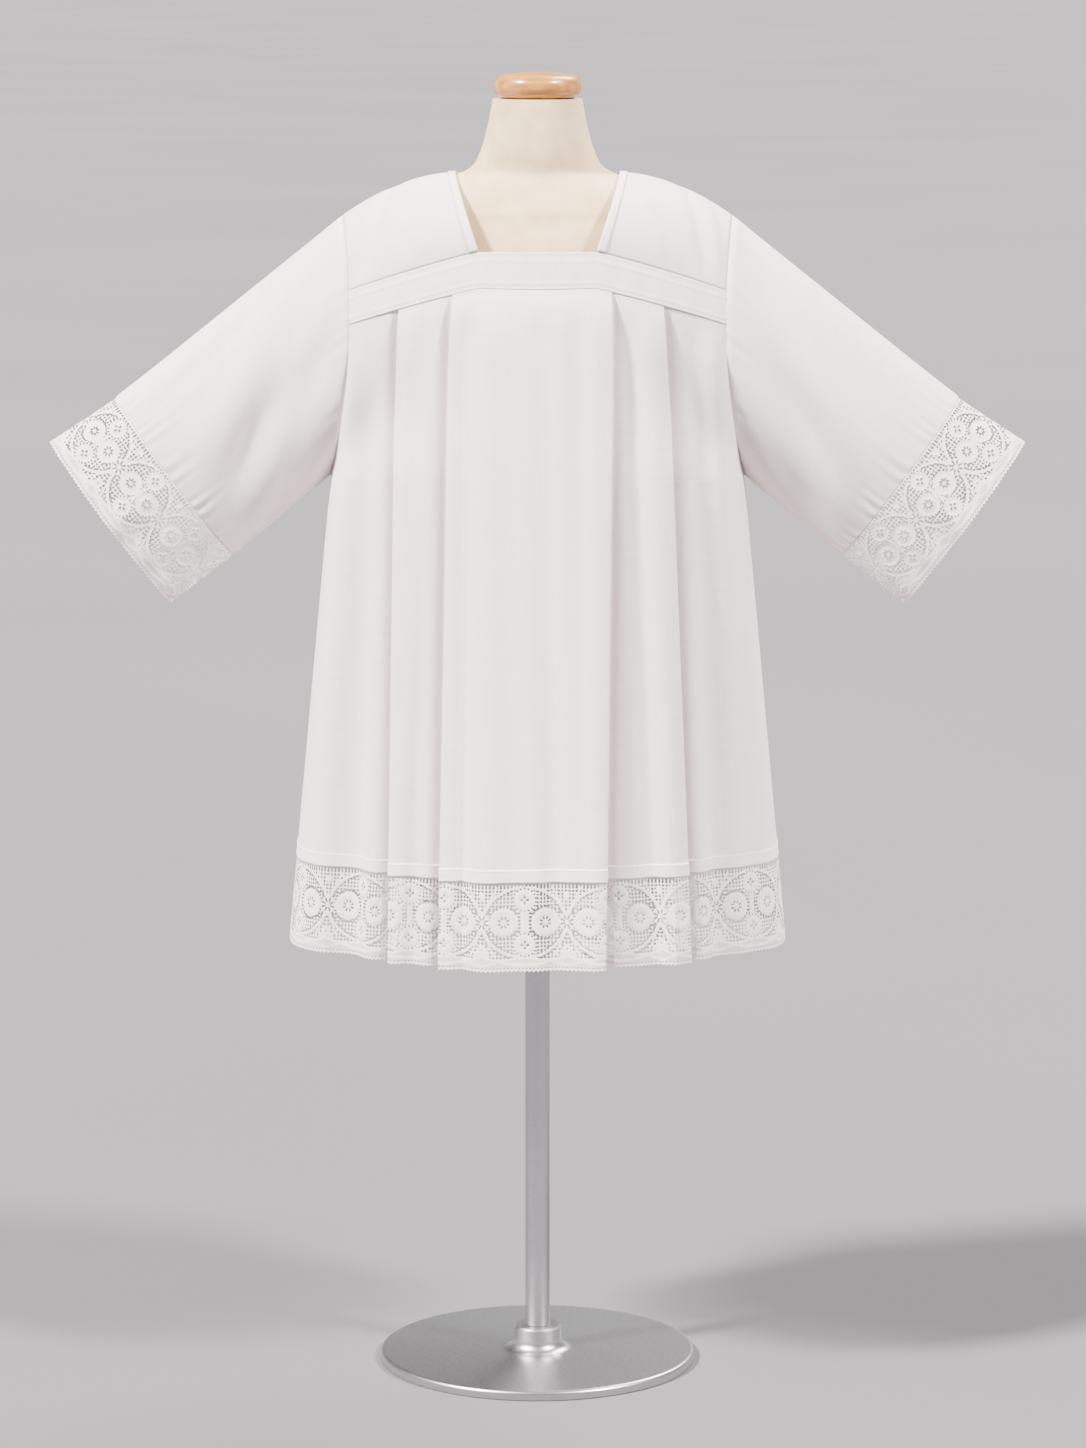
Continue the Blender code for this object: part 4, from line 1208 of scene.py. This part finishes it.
# %% The dress form
FORM_NECK_TOP_Z, FORM_BASE_Z, SEAT_GAP, SHARP_FROM = 1.274, 0.600, 0.0005, 38
NECK_EASING, EASING_STEP, EASING_HALF_WIDTH, EASING_FROM_Z, EASING_TO_Z = 150, 0.6, 0.076, 1.165, 1.220
END_RING = 0.6
FORM_SECTIONS = (
    # z, half-width, front depth, back depth, roundness of the section
    (FORM_BASE_Z, 0.118, 0.074, 0.080, 2.0),
    (0.612, 0.134, 0.088, 0.094, 2.0),
    (0.66, 0.146, 0.096, 0.104, 2.0),
    (0.72, 0.144, 0.095, 0.102, 2.0),
    (0.79, 0.130, 0.088, 0.090, 2.0),
    (0.85, 0.122, 0.085, 0.083, 2.0),
    (0.92, 0.128, 0.091, 0.082, 2.0),
    (1.00, 0.142, 0.096, 0.082, 2.0),
    (1.06, 0.154, 0.094, 0.079, 2.0),
    (1.11, 0.163, 0.086, 0.074, 2.0),
    (1.14, 0.167, 0.078, 0.069, 2.0),
    (1.16, 0.168, 0.071, 0.065, 1.95),
    (1.1762, 0.1635, 0.067, 0.062, 1.8),
    (1.1889, 0.1360, 0.0625, 0.059, 1.6),
    (1.1978, 0.1052, 0.0565, 0.0545, 1.2),
    (1.2005, 0.0799, 0.0545, 0.0525, 1.05),
    (1.206, 0.0670, 0.0525, 0.0512, 1.5),
    (1.214, 0.0580, 0.0515, 0.0505, 1.8),
    (1.228, 0.0508, 0.0485, 0.0485, 2.0),
    (1.245, 0.0470, 0.0455, 0.0460, 2.0),
    (FORM_NECK_TOP_Z, 0.0440, 0.043, 0.043, 2.0),
)


def steady_curve(x, knots, values):
    """A cubic through knots that never overshoots: slopes are harmonic means of the chords'."""
    chord = np.diff(values) / np.diff(knots)
    slope = np.zeros_like(values)
    same = chord[:-1] * chord[1:] > 0
    slope[1:-1][same] = 2 * chord[:-1][same] * chord[1:][same] / (chord[:-1] + chord[1:])[same]
    slope[0], slope[-1] = chord[0], chord[-1]
    k = np.clip(np.searchsorted(knots, x, side="right") - 1, 0, len(knots) - 2)
    span = knots[k + 1] - knots[k]
    t = (x - knots[k]) / span
    low = (1 + 2 * t) * (1 - t) ** 2 * values[k] + t * (1 - t) ** 2 * span * slope[k]
    high = t * t * (3 - 2 * t) * values[k + 1] + t * t * (t - 1) * span * slope[k + 1]
    return low + high


def form_grid(rows, columns):
    """Superellipse sections, closely stacked, with both ends closed to a point.

    The crease at the foot of the neck is eased: there each point moves towards its neighbours' mean.
    """
    table = np.array(FORM_SECTIONS)
    knots = table[:, 0]
    z = np.interp(np.linspace(0, len(knots) - 1, rows), np.arange(len(knots)), knots)
    half, front, back, bend = (steady_curve(z, knots, table[:, k]) for k in range(1, 5))
    angle = np.linspace(0, TAU, columns, endpoint=False)
    c, s = np.cos(angle)[None], np.sin(angle)[None]
    power = (2.0 / bend)[:, None]
    x = half[:, None] * np.sign(c) * np.abs(c) ** power
    y = np.where(s < 0, front[:, None], back[:, None]) * np.sign(s) * np.abs(s) ** power
    side = np.stack([x, y, np.broadcast_to(z[:, None], x.shape)], axis=-1)
    inside = EASING_HALF_WIDTH - np.abs(x[1:-1])
    ease = smooth(inside / 0.016) * smooth((side[1:-1, :, 2] - EASING_FROM_Z) / 0.015)
    below_neck = 0.5 * smooth((EASING_TO_Z - side[1:-1, :, 2:]) / 0.02)
    for _ in range(NECK_EASING):
        around = (np.roll(side, 1, axis=1) + np.roll(side, -1, axis=1))[1:-1] / 2
        mean = blend((side[2:] + side[:-2]) / 2, around, below_neck)
        side[1:-1] += ease[..., None] * (mean - side[1:-1]) * EASING_STEP
    low, high = side[:1] * (0, 0, 1), side[-1:] * (0, 0, 1)
    near_low, near_high = blend(low, side[:1], END_RING), blend(high, side[-1:], END_RING)
    return np.concatenate([low, near_low, side, near_high, high])


def closed_body(name, points, finish):
    """A closed smooth body from rings, whose first and last ring become one point each."""
    rows, columns = points.shape[:2]
    body = np.concatenate([points[0, :1], points[1:-1].reshape(-1, 3), points[-1, :1]])
    around, last = np.arange(columns), len(body) - 1
    following = (around + 1) % columns
    sides = grid_faces(rows - 2, columns, closed=True)[:, ::-1] + 1
    low = np.stack([0 * around, 1 + following, 1 + around], -1)
    high = np.stack([0 * around + last, last - columns + around, last - columns + following], -1)
    faces = sides.tolist() + low.tolist() + high.tolist()
    made = piece_of(name, body, faces, None, finish)
    made.data.set_sharp_from_angle(angle=math.radians(SHARP_FROM))
    return made


form_cover = closed_body("form_cover", form_grid(130, 96), cover_finish)
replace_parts(form_cover, "form_torso")

# %% Cap, pole and foot
CAP_RADIUS, CAP_HEIGHT, CAP_EDGE, CAP_CROWN = 0.0435, 0.0255, 0.0105, 0.003
POLE_RADIUS = 0.0125
FOOT_RADIUS, FOOT_THICKNESS, FOOT_EDGE, FOOT_FILLET = 0.160, 0.010, 0.004, 0.012
FOOT_BOSS_RADIUS, FOOT_BOSS_TOP, BOSS_EDGE = 0.024, 0.034, 0.002


def arc(centre_r, centre_z, radius, start, end, count):
    """Points of an arc in a profile, with angles in degrees from straight out."""
    angles = np.radians(np.linspace(start, end, count))
    return [(centre_r + radius * math.cos(a), centre_z + radius * math.sin(a)) for a in angles]


def turned_piece(name, profile, finish, around=96):
    """A closed profile of (radius, z) points, bottom to top, carried round the upright axis."""
    profile = np.array(profile)
    angle = np.linspace(0, TAU, around, endpoint=False)
    x = profile[:, :1] * np.cos(angle)[None]
    y = profile[:, :1] * np.sin(angle)[None]
    points = np.stack([x, y, np.broadcast_to(profile[:, 1:], x.shape)], axis=-1)
    return closed_body(name, points, finish)


cap_foot, cap_flat = FORM_NECK_TOP_Z + SEAT_GAP, CAP_RADIUS - CAP_EDGE
cap_top = cap_foot + CAP_HEIGHT
cap_profile = [(0.0, cap_foot), (cap_flat, cap_foot)]
cap_profile += arc(cap_flat, cap_foot + CAP_EDGE, CAP_EDGE, -80, 0, 9)
cap_profile += arc(cap_flat, cap_top - CAP_CROWN - CAP_EDGE, CAP_EDGE, 0, 82, 12)
cap_profile += [(0.018, cap_top - 0.0006), (0.008, cap_top - 0.0001), (0.0, cap_top)]
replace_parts(turned_piece("neck_cap", cap_profile, beech_finish), "form_cap")

pole_low, pole_high = FOOT_BOSS_TOP + SEAT_GAP, FORM_BASE_Z - SEAT_GAP
pole_profile = [(0.0, pole_low), (POLE_RADIUS, pole_low), (POLE_RADIUS, pole_high), (0.0, pole_high)]
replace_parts(turned_piece("stand_tube", pole_profile, steel_finish, 64), "form_pole")

foot_profile = [(0.0, 0.0), (FOOT_RADIUS - 0.001, 0.0), (FOOT_RADIUS, 0.001)]
foot_profile += arc(FOOT_RADIUS - FOOT_EDGE, FOOT_THICKNESS - FOOT_EDGE, FOOT_EDGE, 0, 90, 7)
foot_profile += arc(FOOT_BOSS_RADIUS + FOOT_FILLET, FOOT_THICKNESS + FOOT_FILLET, FOOT_FILLET, 270, 180, 9)
foot_profile += [(FOOT_BOSS_RADIUS, FOOT_BOSS_TOP - BOSS_EDGE), (FOOT_BOSS_RADIUS - BOSS_EDGE, FOOT_BOSS_TOP)]
foot_profile += [(0.0, FOOT_BOSS_TOP)]
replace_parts(turned_piece("stand_foot", foot_profile, steel_finish, 128), "form_foot")
